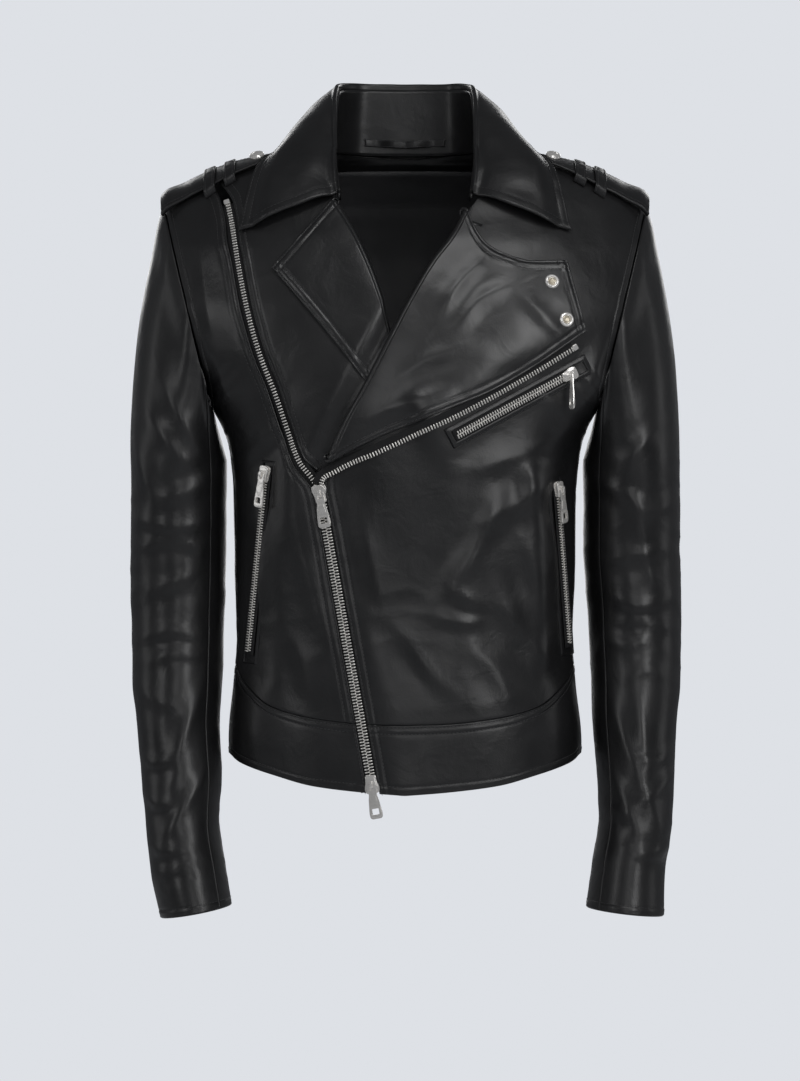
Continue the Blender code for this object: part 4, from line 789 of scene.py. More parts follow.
def closed_grid(top, low, wrap=False):
    m, n = top.shape[:2]
    k = m * n
    idx = np.arange(k).reshape(m, n)
    if wrap:
        idx = np.concatenate([idx, idx[:, :1]], 1)
    a, b, c, d = idx[:-1, :-1], idx[:-1, 1:], idx[1:, 1:], idx[1:, :-1]
    quads = [np.stack([a, b, c, d], -1).reshape(-1, 4), np.stack([k + d, k + c, k + b, k + a], -1).reshape(-1, 4)]
    e, f = idx[0, :-1], idx[0, 1:]
    quads.append(np.stack([f, e, k + e, k + f], -1))
    e, f = idx[-1, :-1], idx[-1, 1:]
    quads.append(np.stack([e, f, k + f, k + e], -1))
    if not wrap:
        e, f = idx[:-1, 0], idx[1:, 0]
        quads.append(np.stack([e, f, k + f, k + e], -1))
        e, f = idx[:-1, -1], idx[1:, -1]
        quads.append(np.stack([f, e, k + e, k + f], -1))
    q = np.concatenate(quads)
    verts = np.concatenate([top.reshape(-1, 3), low.reshape(-1, 3)])
    T = verts[q]
    vol = np.einsum("ij,ij->", T[:, 0], np.cross(T[:, 1], T[:, 2])) + np.einsum("ij,ij->", T[:, 0], np.cross(T[:, 2], T[:, 3]))
    if vol < 0:
        q = q[:, ::-1]
    return verts, q


def grid_normals(G, wrap=False):
    if wrap:
        du = np.roll(G, -1, 1) - np.roll(G, 1, 1)
    else:
        du = np.gradient(G, axis=1)
    dv = np.gradient(G, axis=0)
    n = np.cross(du, dv)
    return n / np.maximum(np.linalg.norm(n, axis=-1, keepdims=True), 1e-9)


EDGE_STEPS = [0, 0.3, 0.7, 1.2, 1.9, 2.8, 3.9, 5.0, 6.0, 6.7, 7.4, 8.2, 9.4, 11.2]
FINE = 1.0


def spaced(length, h, first, last):
    """Fractions along a length: close together at the marked ends, h apart between."""
    h = h * FINE
    start = [s for s in EDGE_STEPS if s < length * 0.3] if first else [0.0]
    end = [length - s for s in EDGE_STEPS if s < length * 0.3] if last else [length]
    a, b = start[-1], end[-1]
    n = max(1, int(round((b - a) / h)))
    mid = np.linspace(a, b, n + 1)
    out = np.array(start[:-1] + list(mid) + end[::-1][1:])
    return out / length


def edge_drop(d, kind):
    """How far the outer face dips near an edge, d mm away."""
    if kind is None:
        return 0.0
    r, dip = {"seam": (2.2, 0.8), "turn": (0.95, 0.95), "fold": (1.3, 1.2), "soft": (3.2, 0.8)}[kind]
    q = 1 - np.clip(d / r, 0, 1)
    return -dip * (1 - np.sqrt(np.maximum(0, 1 - q * q)))


class Sheet:
    """A sheet of leather over a patch, with rolled edges, stitch valleys and folds."""

    def __init__(self, name, sides, surf, mat, off=0.0, thick=1.7, kinds=(None, None, None, None), disp=None, h=3.4, stitch=(), fade=0.0, pucker=0.26, patch=None):
        low, top, left, right = sides
        t = np.linspace(0, 1, 11)
        probe = coons(low, top, left, right, t, t)
        base = surf(probe[..., 0], probe[..., 1], np.zeros(probe.shape[:2]))
        lu = float(np.percentile(np.linalg.norm(np.diff(base, axis=1), axis=-1).sum(1), 60))
        lv = float(np.percentile(np.linalg.norm(np.diff(base, axis=0), axis=-1).sum(0), 60))
        u = spaced(lu, h, kinds[2] is not None, kinds[3] is not None)
        v = spaced(lv, h, kinds[0] is not None, kinds[1] is not None)
        grid = coons(low, top, left, right, u, v)
        A, B = grid[..., 0], grid[..., 1]
        zero = np.zeros(A.shape)
        base = surf(A, B, zero)
        nrm = grid_normals(base)
        probe_n = surf(A, B, zero + 1.0) - base
        flip = np.sign(np.einsum("ijk,ijk->ij", nrm, probe_n).sum())
        nrm = nrm * flip
        du = np.linalg.norm(np.diff(base, axis=1), axis=-1)
        dv = np.linalg.norm(np.diff(base, axis=0), axis=-1)
        dl = np.concatenate([np.zeros((len(v), 1)), np.cumsum(du, 1)], 1)
        db = np.concatenate([np.zeros((1, len(u))), np.cumsum(dv, 0)], 0)
        dist = [db, db[-1:] - db, dl, dl[:, -1:] - dl]
        o = off(base) if callable(off) else np.full(A.shape, float(off))
        total = o.copy()
        puff = np.zeros(A.shape)
        for (edge, at) in stitch:
            if isinstance(edge, int):
                d = dist[edge]
                puff += -0.42 * np.exp(-(((d - at) / 0.85) ** 2)) + (0.3 * np.exp(-(((d - 5.2) / 1.9) ** 2)) if at > 5 else 0.0)
                puff += pucker * np.exp(-(((d - at * 0.55) / (at * 0.5)) ** 2)) * vnoise(base / 6.5, 77)
        if disp is not None:
            amount = disp(base, nrm)
            if fade:
                dmin = np.minimum.reduce([d for d, k in zip(dist, kinds) if k is not None] or [zero + 99])
                amount = amount * (0.35 + 0.65 * np.clip(dmin / fade, 0, 1))
            total = total + amount
        total = total + puff
        drop = np.zeros(A.shape)
        for d, k in zip(dist, kinds):
            drop = np.minimum(drop, edge_drop(d, k))
        self.outer = base + nrm * (total + drop)[..., None]
        inner = base + nrm * (total - puff - thick - np.where(np.array([k in ("turn", "fold") for k in kinds]).any(), drop * 0.6, 0))[..., None]
        self.base, self.nrm, self.dist = base, grid_normals(self.outer) * flip, dist
        verts, quads = closed_grid(self.outer, inner)
        self.obj = make_mesh(name, verts, [quads], mat)

    def iso(self, edge, at, a=0.0, b=1.0, trim=True):
        """The line at mm from an edge, as points and normals."""
        d = self.dist[edge]
        P, N = self.outer, self.nrm
        if edge in (2, 3):
            rows = range(d.shape[0])
            get = lambda arr, r: arr[r]
            other = (self.dist[0], self.dist[1])
        else:
            rows = range(d.shape[1])
            get = lambda arr, r: arr[:, r]
            other = (self.dist[2], self.dist[3])
        pts, nor = [], []
        for r in rows:
            dd = get(d, r)
            order = np.argsort(dd)
            dd = dd[order]
            if dd[-1] < at:
                continue
            row_p, row_n = get(P, r)[order], get(N, r)[order]
            k = int(np.clip(np.searchsorted(dd, at), 1, len(dd) - 1))
            f = (at - dd[k - 1]) / max(dd[k] - dd[k - 1], 1e-9)
            if trim:
                o1 = get(other[0], r)[order]
                o2 = get(other[1], r)[order]
                if min(o1[k - 1], o2[k - 1]) < at * 0.96:
                    continue
            pts.append(row_p[k - 1] * (1 - f) + row_p[k] * f)
            nor.append(row_n[k - 1] * (1 - f) + row_n[k] * f)
        pts, nor = np.array(pts), np.array(nor)
        n = len(pts)
        return pts[int(a * n): int(math.ceil(b * n))], nor[int(a * n): int(math.ceil(b * n))]


def walk(pts, nor, step, start=0.0):
    """Evenly spaced stations along a line: place, direction, normal."""
    seg = np.linalg.norm(np.diff(pts, axis=0), axis=1)
    s = np.concatenate([[0], np.cumsum(seg)])
    at = np.arange(start, s[-1], step)
    if len(at) < 2:
        return None
    P = np.stack([np.interp(at, s, pts[:, k]) for k in range(3)], -1)
    N = np.stack([np.interp(at, s, nor[:, k]) for k in range(3)], -1)
    T = np.gradient(P, axis=0)
    T /= np.maximum(np.linalg.norm(T, axis=1, keepdims=True), 1e-9)
    N = N - T * np.einsum("ij,ij->i", N, T)[:, None]
    N /= np.maximum(np.linalg.norm(N, axis=1, keepdims=True), 1e-9)
    return P, T, N


def stamped(template, faces, frames):
    """Copies of a small body at many frames (P, X, Y, Z rows)."""
    P, X, Y, Z = frames
    n, m = len(P), len(template)
    V = P[:, None] + template[None, :, 0:1] * X[:, None] + template[None, :, 1:2] * Y[:, None] + template[None, :, 2:3] * Z[:, None]
    polys = [(np.asarray(f)[None] + (np.arange(n) * m)[:, None, None]).reshape(-1, np.asarray(f).shape[1]) for f in faces]
    return V.reshape(-1, 3), polys


def rings_body(stations, around, tips=None):
    """Body of rings: stations are (x, scale_y, scale_z); around is the ring's (y, z) outline."""
    n = len(around)
    V, Q = [], []
    for x, sy, sz in stations:
        for y, z in around:
            V.append((x, y * sy, z * sz))
    for k in range(len(stations) - 1):
        for i in range(n):
            j = (i + 1) % n
            Q.append((k * n + i, k * n + j, (k + 1) * n + j, (k + 1) * n + i))
    T = []
    first, last = len(V), len(V) + 1
    V.append((stations[0][0] - (tips or 0), 0, 0))
    V.append((stations[-1][0] + (tips or 0), 0, 0))
    b = (len(stations) - 1) * n
    for i in range(n):
        j = (i + 1) % n
        T.append((first, j, i))
        T.append((last, b + i, b + j))
    return np.array(V, float), [np.array(Q), np.array(T)]


hexa = [(math.cos(k * math.pi / 3), math.sin(k * math.pi / 3)) for k in range(6)]
STITCH = rings_body([(-1.15, 0.55, 0.5), (0, 1.0, 1.0), (1.15, 0.55, 0.5)], [(y * 0.34, z * 0.3) for y, z in hexa], 0.25)
octa = [(-0.5, -1), (0.5, -1), (0.85, -0.55), (0.85, 0.55), (0.5, 1), (-0.5, 1), (-0.85, 0.55), (-0.85, -0.55)]
stitches = {}
teeth = {}


def stitch_line(group, line, pitch=3.4, sink=0.05):
    pts, nor = line
    if len(pts) < 3:
        return
    w = walk(pts, nor, pitch)
    if w is None:
        return
    P, T, N = w
    tilt = T * 0.995 + N * 0.05
    V, polys = stamped(STITCH[0], STITCH[1], (P + N * (0.22 - sink), tilt, np.cross(N, T), N))
    stitches.setdefault(group, []).append((V, polys))


def tooth_row(group, line, reach, side, pitch=2.75, width=1.45, high=2.2, phase=0.0, mat="metal"):
    """A row of teeth along a line at the tape's edge; they reach across by reach towards side."""
    pts, nor = line
    w = walk(pts, nor, pitch, phase)
    if w is None:
        return
    P, T, N = w
    X = np.cross(T, N) * side
    body = rings_body(
        [(0.0, 0.62, 0.8), (0.25, 0.9, 1.0), (reach * 0.45, 0.9, 1.0), (reach * 0.62, 0.72, 0.92), (reach * 0.8, 1.0, 0.95), (reach, 0.7, 0.7)],
        [(y * width / 1.7 * 1.0, z * high / 2) for y, z in octa], 0.12,
    )
    V, polys = stamped(body[0], body[1], (P, X, T, N))
    teeth.setdefault(group, []).append((V, polys))


def gather(name, parts, mat):
    verts, off, by = [], 0, {}
    for V, polys in parts:
        for p in polys:
            by.setdefault(p.shape[1], []).append(p + off)
        verts.append(V)
        off += len(V)
    return make_mesh(name, np.concatenate(verts), [np.concatenate(v) for v in by.values()], mat)


# ================================================================ materials
def base_material(name, colour, rough, metal=0.0):
    m = bpy.data.materials.new(name)
    m.use_nodes = True
    nt = m.node_tree
    b = nt.nodes["Principled BSDF"]
    b.inputs["Base Color"].default_value = (*colour, 1)
    b.inputs["Roughness"].default_value = rough
    b.inputs["Metallic"].default_value = metal
    return m, nt, b


def leather_material(name, colour=(0.0085, 0.0085, 0.0090), rough=0.37, coat=0.2, grain=0.5):
    m, nt, b = base_material(name, colour, rough)
    b.inputs["Coat Weight"].default_value = coat
    b.inputs["Coat Roughness"].default_value = 0.24
    b.inputs["Specular IOR Level"].default_value = 0.5
    N = nt.nodes.new
    L = nt.links.new
    tc = N("ShaderNodeTexCoord")
    fine = N("ShaderNodeTexVoronoi")
    fine.feature = "SMOOTH_F1"
    fine.inputs["Scale"].default_value = 900
    fine.inputs["Smoothness"].default_value = 0.6
    fine.inputs["Randomness"].default_value = 0.95
    L(tc.outputs["Object"], fine.inputs["Vector"])
    mid = N("ShaderNodeTexNoise")
    mid.inputs["Scale"].default_value = 230
    mid.inputs["Detail"].default_value = 4
    mid.inputs["Roughness"].default_value = 0.6
    L(tc.outputs["Object"], mid.inputs["Vector"])
    crease = N("ShaderNodeTexNoise")
    crease.inputs["Scale"].default_value = 42
    crease.inputs["Detail"].default_value = 3
    crease.inputs["Roughness"].default_value = 0.5
    crease.inputs["Distortion"].default_value = 0.6
    L(tc.outputs["Object"], crease.inputs["Vector"])
    b1 = N("ShaderNodeBump")
    b1.inputs["Strength"].default_value = 0.32 * grain
    b1.inputs["Distance"].default_value = 0.00028
    L(fine.outputs["Distance"], b1.inputs["Height"])
    b2 = N("ShaderNodeBump")
    b2.inputs["Strength"].default_value = 0.30 * grain
    b2.inputs["Distance"].default_value = 0.0005
    L(mid.outputs["Fac"], b2.inputs["Height"])
    L(b1.outputs["Normal"], b2.inputs["Normal"])
    b3 = N("ShaderNodeBump")
    b3.inputs["Strength"].default_value = 0.34
    b3.inputs["Distance"].default_value = 0.0022
    L(crease.outputs["Fac"], b3.inputs["Height"])
    L(b2.outputs["Normal"], b3.inputs["Normal"])
    L(b3.outputs["Normal"], b.inputs["Normal"])
    mr = N("ShaderNodeMapRange")
    mr.inputs["From Min"].default_value = 0.3
    mr.inputs["From Max"].default_value = 0.7
    mr.inputs["To Min"].default_value = rough - 0.05
    mr.inputs["To Max"].default_value = rough + 0.07
    wear = N("ShaderNodeTexNoise")
    wear.inputs["Scale"].default_value = 26
    wear.inputs["Detail"].default_value = 5
    L(tc.outputs["Object"], wear.inputs["Vector"])
    L(wear.outputs["Fac"], mr.inputs["Value"])
    L(mr.outputs["Result"], b.inputs["Roughness"])
    mix = N("ShaderNodeMixRGB")
    mix.inputs[1].default_value = (*colour, 1)
    mix.inputs[2].default_value = (*[c * 1.8 for c in colour], 1)
    L(wear.outputs["Fac"], mix.inputs[0])
    L(mix.outputs[0], b.inputs["Base Color"])
    return m


def cloth_material(name, colour, rough, scale, sheen=0.0):
    m, nt, b = base_material(name, colour, rough)
    b.inputs["Sheen Weight"].default_value = sheen
    N = nt.nodes.new
    L = nt.links.new
    tc = N("ShaderNodeTexCoord")
    w1 = N("ShaderNodeTexWave")
    w1.bands_direction = "Z"
    w1.inputs["Scale"].default_value = scale
    w1.inputs["Distortion"].default_value = 0.6
    L(tc.outputs["Object"], w1.inputs["Vector"])
    w2 = N("ShaderNodeTexWave")
    w2.bands_direction = "DIAGONAL"
    w2.inputs["Scale"].default_value = scale * 0.7
    w2.inputs["Distortion"].default_value = 0.6
    L(tc.outputs["Object"], w2.inputs["Vector"])
    mx = N("ShaderNodeMath")
    mx.operation = "ADD"
    L(w1.outputs["Fac"], mx.inputs[0])
    L(w2.outputs["Fac"], mx.inputs[1])
    bp = N("ShaderNodeBump")
    bp.inputs["Strength"].default_value = 0.35
    bp.inputs["Distance"].default_value = 0.0003
    L(mx.outputs[0], bp.inputs["Height"])
    L(bp.outputs["Normal"], b.inputs["Normal"])
    return m


def metal_material(name, colour, rough, painted_glow=0.0):
    m, nt, b = base_material(name, colour, rough, 0.7)
    N = nt.nodes.new
    L = nt.links.new
    tc = N("ShaderNodeTexCoord")
    n1 = N("ShaderNodeTexNoise")
    n1.inputs["Scale"].default_value = 700
    n1.inputs["Detail"].default_value = 4
    L(tc.outputs["Object"], n1.inputs["Vector"])
    mr = N("ShaderNodeMapRange")
    mr.inputs["To Min"].default_value = rough - 0.04
    mr.inputs["To Max"].default_value = rough + 0.06
    L(n1.outputs["Fac"], mr.inputs["Value"])
    L(mr.outputs["Result"], b.inputs["Roughness"])
    n2 = N("ShaderNodeTexNoise")
    n2.inputs["Scale"].default_value = 150
    n2.inputs["Detail"].default_value = 1
    L(tc.outputs["Object"], n2.inputs["Vector"])
    bp = N("ShaderNodeBump")
    bp.inputs["Strength"].default_value = 0.45
    bp.inputs["Distance"].default_value = 0.0011
    L(n2.outputs["Fac"], bp.inputs["Height"])
    L(bp.outputs["Normal"], b.inputs["Normal"])
    # painted glow: a constant emission in the metal's own colour, which makes the metal brighter than the lamps light
    # it
    b.inputs["Emission Color"].default_value = (*colour, 1)
    b.inputs["Emission Strength"].default_value = painted_glow
    mix = N("ShaderNodeMixRGB")
    mix.inputs[1].default_value = (*colour, 1)
    mix.inputs[2].default_value = (*[c * 0.9 for c in colour], 1)
    L(n1.outputs["Fac"], mix.inputs[0])
    L(mix.outputs[0], b.inputs["Base Color"])
    return m


M_LEATHER = leather_material("black_lambskin")
M_LAPEL = leather_material("black_lambskin_facing", rough=0.335, coat=0.35)
M_LINING = cloth_material("black_satin_lining", (0.012, 0.012, 0.014), 0.42, 900, 0.25)
M_TAPE = cloth_material("black_zip_tape", (0.010, 0.010, 0.011), 0.8, 1400)
M_THREAD = cloth_material("black_thread", (0.052, 0.052, 0.054), 0.42, 2500)
# the last number is a painted glow that brightens the nickel and the teeth without a lamp
M_NICKEL = metal_material("polished_nickel", (0.95, 0.93, 0.90), 0.18, 0.055)
M_TEETH = metal_material("nickel_teeth", (0.95, 0.93, 0.89), 0.26, 0.035)
M_DARK = metal_material("shaded_nickel", (0.30, 0.28, 0.25), 0.35)
M_BRASS = metal_material("pale_brass", (0.70, 0.63, 0.50), 0.32)

JACKET = "jacket"
done = []  # (object, body or blend, nodes it stands for, slot)


def put(obj, body, nodes=(), slot="leather"):
    done.append((obj, body, tuple(nodes), slot))
    return obj


LL = ("jacket", "lapel_left_body")
LR = ("jacket", "lapel_right_body")

# ================================================================ body panels
def to_phi(path):
    p = np.asarray(path, float)
    return np.stack([phi_front(p[:, 0], p[:, 1]), p[:, 1]], -1)


G = 0.18  # half gap left at a seam, mm
zl = np.linspace(float(waist(12)) + G, ZIP_TOP[1] + 6, 9)
left_edge = np.concatenate([np.stack([zip_phi(zl, 5.2), zl], -1), to_phi([(x + 2.0, z) for x, z in ROLL_L[::-1][1:]])])


def seam_side(sign, front_side, n=19):
    """Side seam, then the armhole, to the shoulder tip."""
    out = []
    start = float(waist(A84)) + G
    gap = G / 2.7
    for k in range(n):
        zz = start + k / (n - 1) * (Z_PIT - 1.0 - start)
        s = min(1.0, max(0.0, (zz + 330) / (Z_PIT + 330)))
        ph = A84 + (90 - A84) * s * s * (3 - 2 * s)
        out.append((ph + (-gap if front_side else gap), zz))
    levels = Z_PIT + (Z_TIP - Z_PIT) * (1 - np.cos(np.linspace(0.1, math.pi - 0.05, 15))) / 2
    for z in levels:
        out.append((float(phi_arm(z, not front_side)), float(z)))
    p = np.array(out)
    p[:, 0] *= sign
    return p


def waist_line(a, b, n, gap):
    ph = np.linspace(a, b, n)
    return np.stack([ph, waist(ph) + gap], -1)


side_l, side_r = seam_side(1, True), seam_side(-1, True)
gp = G / 2.7
lb = waist_line(float(left_edge[0][0]), A84 - gp, 24, G)
left_edge[0] = lb[0]
side_l[0] = lb[-1]
lt = np.array([tuple(left_edge[-1]), (52, float(neck(52)) - 2), (66, float(neck(66)) - 2), (79.0, float(neck(80)) - 2), (84.5, -8), (88, -24), tuple(side_l[-1])])
s = Sheet("front_left_panel", (lb, lt, left_edge, side_l), shell, M_LEATHER, kinds=("seam", "seam", "turn", "seam"), disp=torso_disp, stitch=((2, 2.2), (2, 8.2), (3, 7.0)), fade=14)
put(s.obj, JACKET, ["front_left"])
stitch_line(JACKET, s.iso(2, 2.2, 0, 0.55, trim=False))
stitch_line(JACKET, s.iso(2, 8.2, 0, 0.55))
stitch_line(JACKET, s.iso(3, 6.6, 0.52, 0.98))
stitch_line(JACKET, s.iso(3, 2.4, 0.02, 0.5))
FRONT_LEFT = s

zr = np.linspace(float(waist(20)) + G, ZIP_TOP[1] - 2, 9)


def shifted(path, dist):
    p = np.asarray(path, float)
    t = np.gradient(p, axis=0)
    t /= np.linalg.norm(t, axis=1, keepdims=True)
    return p + np.stack([-t[:, 1], t[:, 0]], -1) * -dist


right_edge = np.concatenate([np.stack([zip_phi(zr, -5.2), zr], -1), to_phi(shifted(STRING_R, -5.2)[1:]), to_phi([(-171.0, -28.0)]), [[-84.75, -8.2]]])
rb = waist_line(-(A84 - gp), float(right_edge[0][0]), 16, G)
side_r[0], right_edge[0] = rb[0], rb[-1]
rt = np.array([tuple(side_r[-1]), (-88.0, -24.0), tuple(right_edge[-1])])
s = Sheet("front_right_panel", (rb, rt, side_r, right_edge), shell, M_LEATHER, kinds=("seam", "seam", "seam", "turn"), disp=torso_disp, stitch=((3, 2.2), (3, 8.2), (2, 7.0)), fade=14)
put(s.obj, JACKET, ["front_right_outer"])
stitch_line(JACKET, s.iso(3, 2.2, trim=False))
stitch_line(JACKET, s.iso(3, 8.2))
stitch_line(JACKET, s.iso(2, 6.6, 0.52, 0.98))
stitch_line(JACKET, s.iso(2, 2.4, 0.02, 0.5))

inner_left = np.concatenate([to_phi([(float(zip_x(z)) - 11.0, z) for z in np.linspace(-500, -330, 6)]), to_phi([(-78.5, -286.0)]), to_phi(shifted(STRING_R, 5.2)[1:]), to_phi([(-161.0, -29.0)]), [[-84.4, -6.6]]])
inner_right = np.concatenate([to_phi([(float(zip_x(z)) + 34.0, z) for z in np.linspace(-500, -330, 6)]), to_phi([(-30.0, -270.0), (5.0, -215.0), (-8.0, -172.0)]), to_phi([(x - 1.5, z) for x, z in ROLL_R[::-1][1:]])])
ib = np.array([inner_left[0], inner_right[0]])
it = np.array([inner_left[-1], (-80, float(neck(80)) - 1), (-66, float(neck(66))), (-52, float(neck(52))), inner_right[-1]])
s = Sheet("front_right_underlap", (ib, it, inner_left, inner_right), shell, M_LEATHER, off=lambda P: -5.4 * under_depth(P[..., 0], P[..., 2]), kinds=("turn", "seam", "turn", None), disp=lambda P, N: 0.7 * torso_disp(P, N), stitch=((2, 2.2), (2, 8.2)), fade=14)
put(s.obj, JACKET, ["front_right_inner"])
stitch_line(JACKET, s.iso(2, 2.2, 0.42, 1.0, trim=False))
stitch_line(JACKET, s.iso(2, 8.2, 0.42, 1.0))

arm_b = np.array([(float(phi_arm(z, True)), float(z)) for z in Z_PIT + (Z_TIP - Z_PIT) * (1 - np.cos(np.linspace(0.1, math.pi - 0.05, 21))) / 2])
seam_phi = float(phi_arm(YOKE_Z, True))
yoke_side = np.concatenate([[(seam_phi, YOKE_Z + G)], arm_b[arm_b[:, 1] > YOKE_Z + 4], [(88.6, -25), (85.2, -8), (80.5, float(neck(80)) - 1)]])
mirror = np.array([-1.0, 1.0])
yoke_r = yoke_side * mirror + np.array([360.0, 0.0])
tp = np.linspace(80.5, 279.5, 41)
yt = np.stack([tp, neck(tp)], -1)
yb = np.stack([np.linspace(seam_phi, 360 - seam_phi, 41), np.full(41, YOKE_Z + G)], -1)
yt[0], yt[-1] = yoke_side[-1], yoke_r[-1]
s = Sheet("back_yoke_panel", (yb, yt, yoke_side, yoke_r), shell, M_LEATHER, kinds=("seam", "seam", "seam", "seam"), disp=torso_disp, stitch=((0, 2.2), (0, 8.2), (2, 7.0), (3, 7.0)), fade=12, h=3.8)
put(s.obj, JACKET, ["back_yoke"])
stitch_line(JACKET, s.iso(0, 2.2, trim=False))
stitch_line(JACKET, s.iso(0, 8.2))
stitch_line(JACKET, s.iso(2, 6.6, 0.03, 0.97))
stitch_line(JACKET, s.iso(3, 6.6, 0.03, 0.97))

side_b = seam_side(1, False)
back_side = np.concatenate([side_b[side_b[:, 1] < YOKE_Z - 5], [(seam_phi, YOKE_Z - G)]])
back_r = back_side * mirror + np.array([360.0, 0.0])
bb = waist_line(A84 + gp, 360 - A84 - gp, 41, G)
bt = np.stack([np.linspace(seam_phi, 360 - seam_phi, 41), np.full(41, YOKE_Z - G)], -1)
back_side[0], back_r[0] = bb[0], bb[-1]
s = Sheet("back_body_panel", (bb, bt, back_side, back_r), shell, M_LEATHER, kinds=("seam", "seam", "seam", "seam"), disp=torso_disp, stitch=((2, 7.0), (3, 7.0)), fade=12, h=3.8)
put(s.obj, JACKET, ["back_panel"])
stitch_line(JACKET, s.iso(2, 6.6, 0.5, 0.99))
stitch_line(JACKET, s.iso(3, 6.6, 0.5, 0.99))


def band(name, node, lo, hi, n, zip_side, ends):
    ph = np.linspace(0, 1, n)

    def at(v, k):
        zz = float(hem(k)) * (1 - v) + float(waist(k)) * v
        return zz

    def side(k, which):
        out = []
        for v in np.linspace(0, 1, 7):
            zz = at(v, k) - (G if v == 1 else 0)
            p = k
            if which == "lo" and zip_side == "lo":
                p = float(zip_phi(zz, 5.2))
            if which == "hi" and zip_side == "hi":
                p = float(zip_phi(zz, -5.2))
            out.append((p, zz))
        return np.array(out)

    L, R = side(lo, "lo"), side(hi, "hi")
    bot = L[0][0] + (R[0][0] - L[0][0]) * ph
    up = L[-1][0] + (R[-1][0] - L[-1][0]) * ph
    bottom = np.stack([bot, hem(bot)], -1)
    top = np.stack([up, waist(up) - G], -1)
    L[0], R[0], L[-1], R[-1] = bottom[0], bottom[-1], top[0], top[-1]
    sh = Sheet(name, (bottom, top, L, R), shell, M_LEATHER, thick=2.4, kinds=("fold", "seam", ends[0], ends[1]), disp=lambda P, N: 0.5 * torso_disp(P, N), stitch=((0, 7.5), (1, 2.2), (1, 8.0)) + (((2, 2.2), (2, 8.2)) if zip_side == "lo" else ()), fade=8, h=3.2)
    put(sh.obj, JACKET, [node])
    stitch_line(JACKET, sh.iso(0, 7.5))
    stitch_line(JACKET, sh.iso(1, 2.2, trim=False))
    stitch_line(JACKET, sh.iso(1, 8.0))
    if zip_side == "lo":
        stitch_line(JACKET, sh.iso(2, 2.2, trim=False))
        stitch_line(JACKET, sh.iso(2, 8.2))
    if zip_side == "hi":
        stitch_line(JACKET, sh.iso(3, 2.2, trim=False))
    return sh


band("waistband_left_band", "waistband_left", float(zip_phi(-540, 5.2)), A84 - gp, 26, "lo", ("turn", "seam"))
band("waistband_right_band", "waistband_right", -(A84 - gp), float(zip_phi(-540, -5.2)), 18, "hi", ("seam", "turn"))
band("waistband_back_band", "waistband_back", A84 + gp, 360 - A84 - gp, 41, None, ("seam", "seam"))

# ================================================================ lining
def wrinkles(P, N):
    return 1.0 * ridged(np.stack([P[..., 0] / 34, P[..., 1] / 34, P[..., 2] / 90], -1), 61) + 0.8 * vnoise(P / 30.0, 62)


lo_z = -508.0
s = Sheet("body_lining_lower", (
    np.stack([np.linspace(56, 304, 30), np.full(30, lo_z)], -1), np.stack([np.linspace(66, 294, 30), np.full(30, Z_PIT - 4)], -1),
    np.array([(56, lo_z), (56, -300), (66, Z_PIT - 4)]), np.array([(304, lo_z), (304, -300), (294, Z_PIT - 4)])),
    shell, M_LINING, off=-7.0, thick=0.7, kinds=("turn", None, "turn", "turn"), disp=wrinkles, h=5.0)
put(s.obj, JACKET, ["body_lining"], "lining")
arm_in = np.array([(float(phi_arm(z, True)) + 1.5, float(z)) for z in np.linspace(Z_PIT + 2, Z_TIP - 3, 16)])
arm_in = np.concatenate([[(91.5, Z_PIT - 5)], arm_in, [(88, -20), (84, 4)]])
arm_in_r = arm_in * mirror + np.array([360.0, 0.0])
s = Sheet("body_lining_upper", (
    np.stack([np.linspace(91.5, 268.5, 24), np.full(24, Z_PIT - 5)], -1), np.stack([np.linspace(84, 276, 24), np.full(24, 4.0)], -1), arm_in, arm_in_r),
    shell, M_LINING, off=-6.8, thick=0.7, kinds=(None, None, None, None), disp=wrinkles, h=5.0)
put(s.obj, JACKET, (), "lining")

# facings: leather inside each front edge
def facing(name, path, width, side):
    p = np.asarray(path, float)
    q = p.copy()
    q[:, 0] += width * side
    a, b = to_phi(p), to_phi(q)
    return a, b


fl = [(ROLL_L[0][0] + 1, ROLL_L[0][1])] + [(x + 1.0, z) for x, z in ROLL_L[1:]] + [(float(zip_x(z)) - 9.0, z) for z in (-330.0, -420, -500, -566)]
fl = fl[::-1]
a, b = facing("l", fl, 62.0, 1)
s = Sheet("facing_left", (np.array([a[0], b[0]]), np.array([a[-1], b[-1]]), a, b), shell, M_LEATHER, off=-7.5, thick=0.9, kinds=(None, None, "turn", "turn"), h=6.0)
put(s.obj, JACKET, (), "leather")
fr = [(float(zip_x(z)) - 12.0, z) for z in (-562.0, -500, -420, -330)] + [(-100.0, -262.0), (-112, -200), (-122, -150), (-128, -90), (-120, -50)]
a = to_phi(fr)
b = to_phi([(x - 26.0, z) for x, z in fr])
s = Sheet("facing_right", (np.array([b[0], a[0]]), np.array([b[-1], a[-1]]), b, a), shell, M_LEATHER, off=-4.2, thick=1.0, kinds=(None, None, "turn", "turn"), h=6.0)
put(s.obj, JACKET, (), "leather")

# ================================================================ sleeves
def sleeve_surf(sign):
    def surf(psi, t, off):
        P = sleeve_point(sign, psi, t)
        if not np.any(off):
            return P
        du = sleeve_point(sign, psi + 1, t) - sleeve_point(sign, psi - 1, t)
        dv = sleeve_point(sign, psi, np.minimum(t + 0.01, 2.0)) - sleeve_point(sign, psi, np.maximum(t - 0.01, 0.0))
        n = np.cross(du, dv) * sign
        n = n / np.maximum(np.linalg.norm(n, axis=-1, keepdims=True), 1e-9)
        return P + n * np.asarray(off, float)[..., None]

    return surf


T_LINE = np.array([0, 0.05, 0.12, 0.2, 0.3, 0.5, 0.75, 1.0, 1.12, 1.25, 1.38, 1.5, 1.6, 1.7, 1.8, 1.9, 2.0])


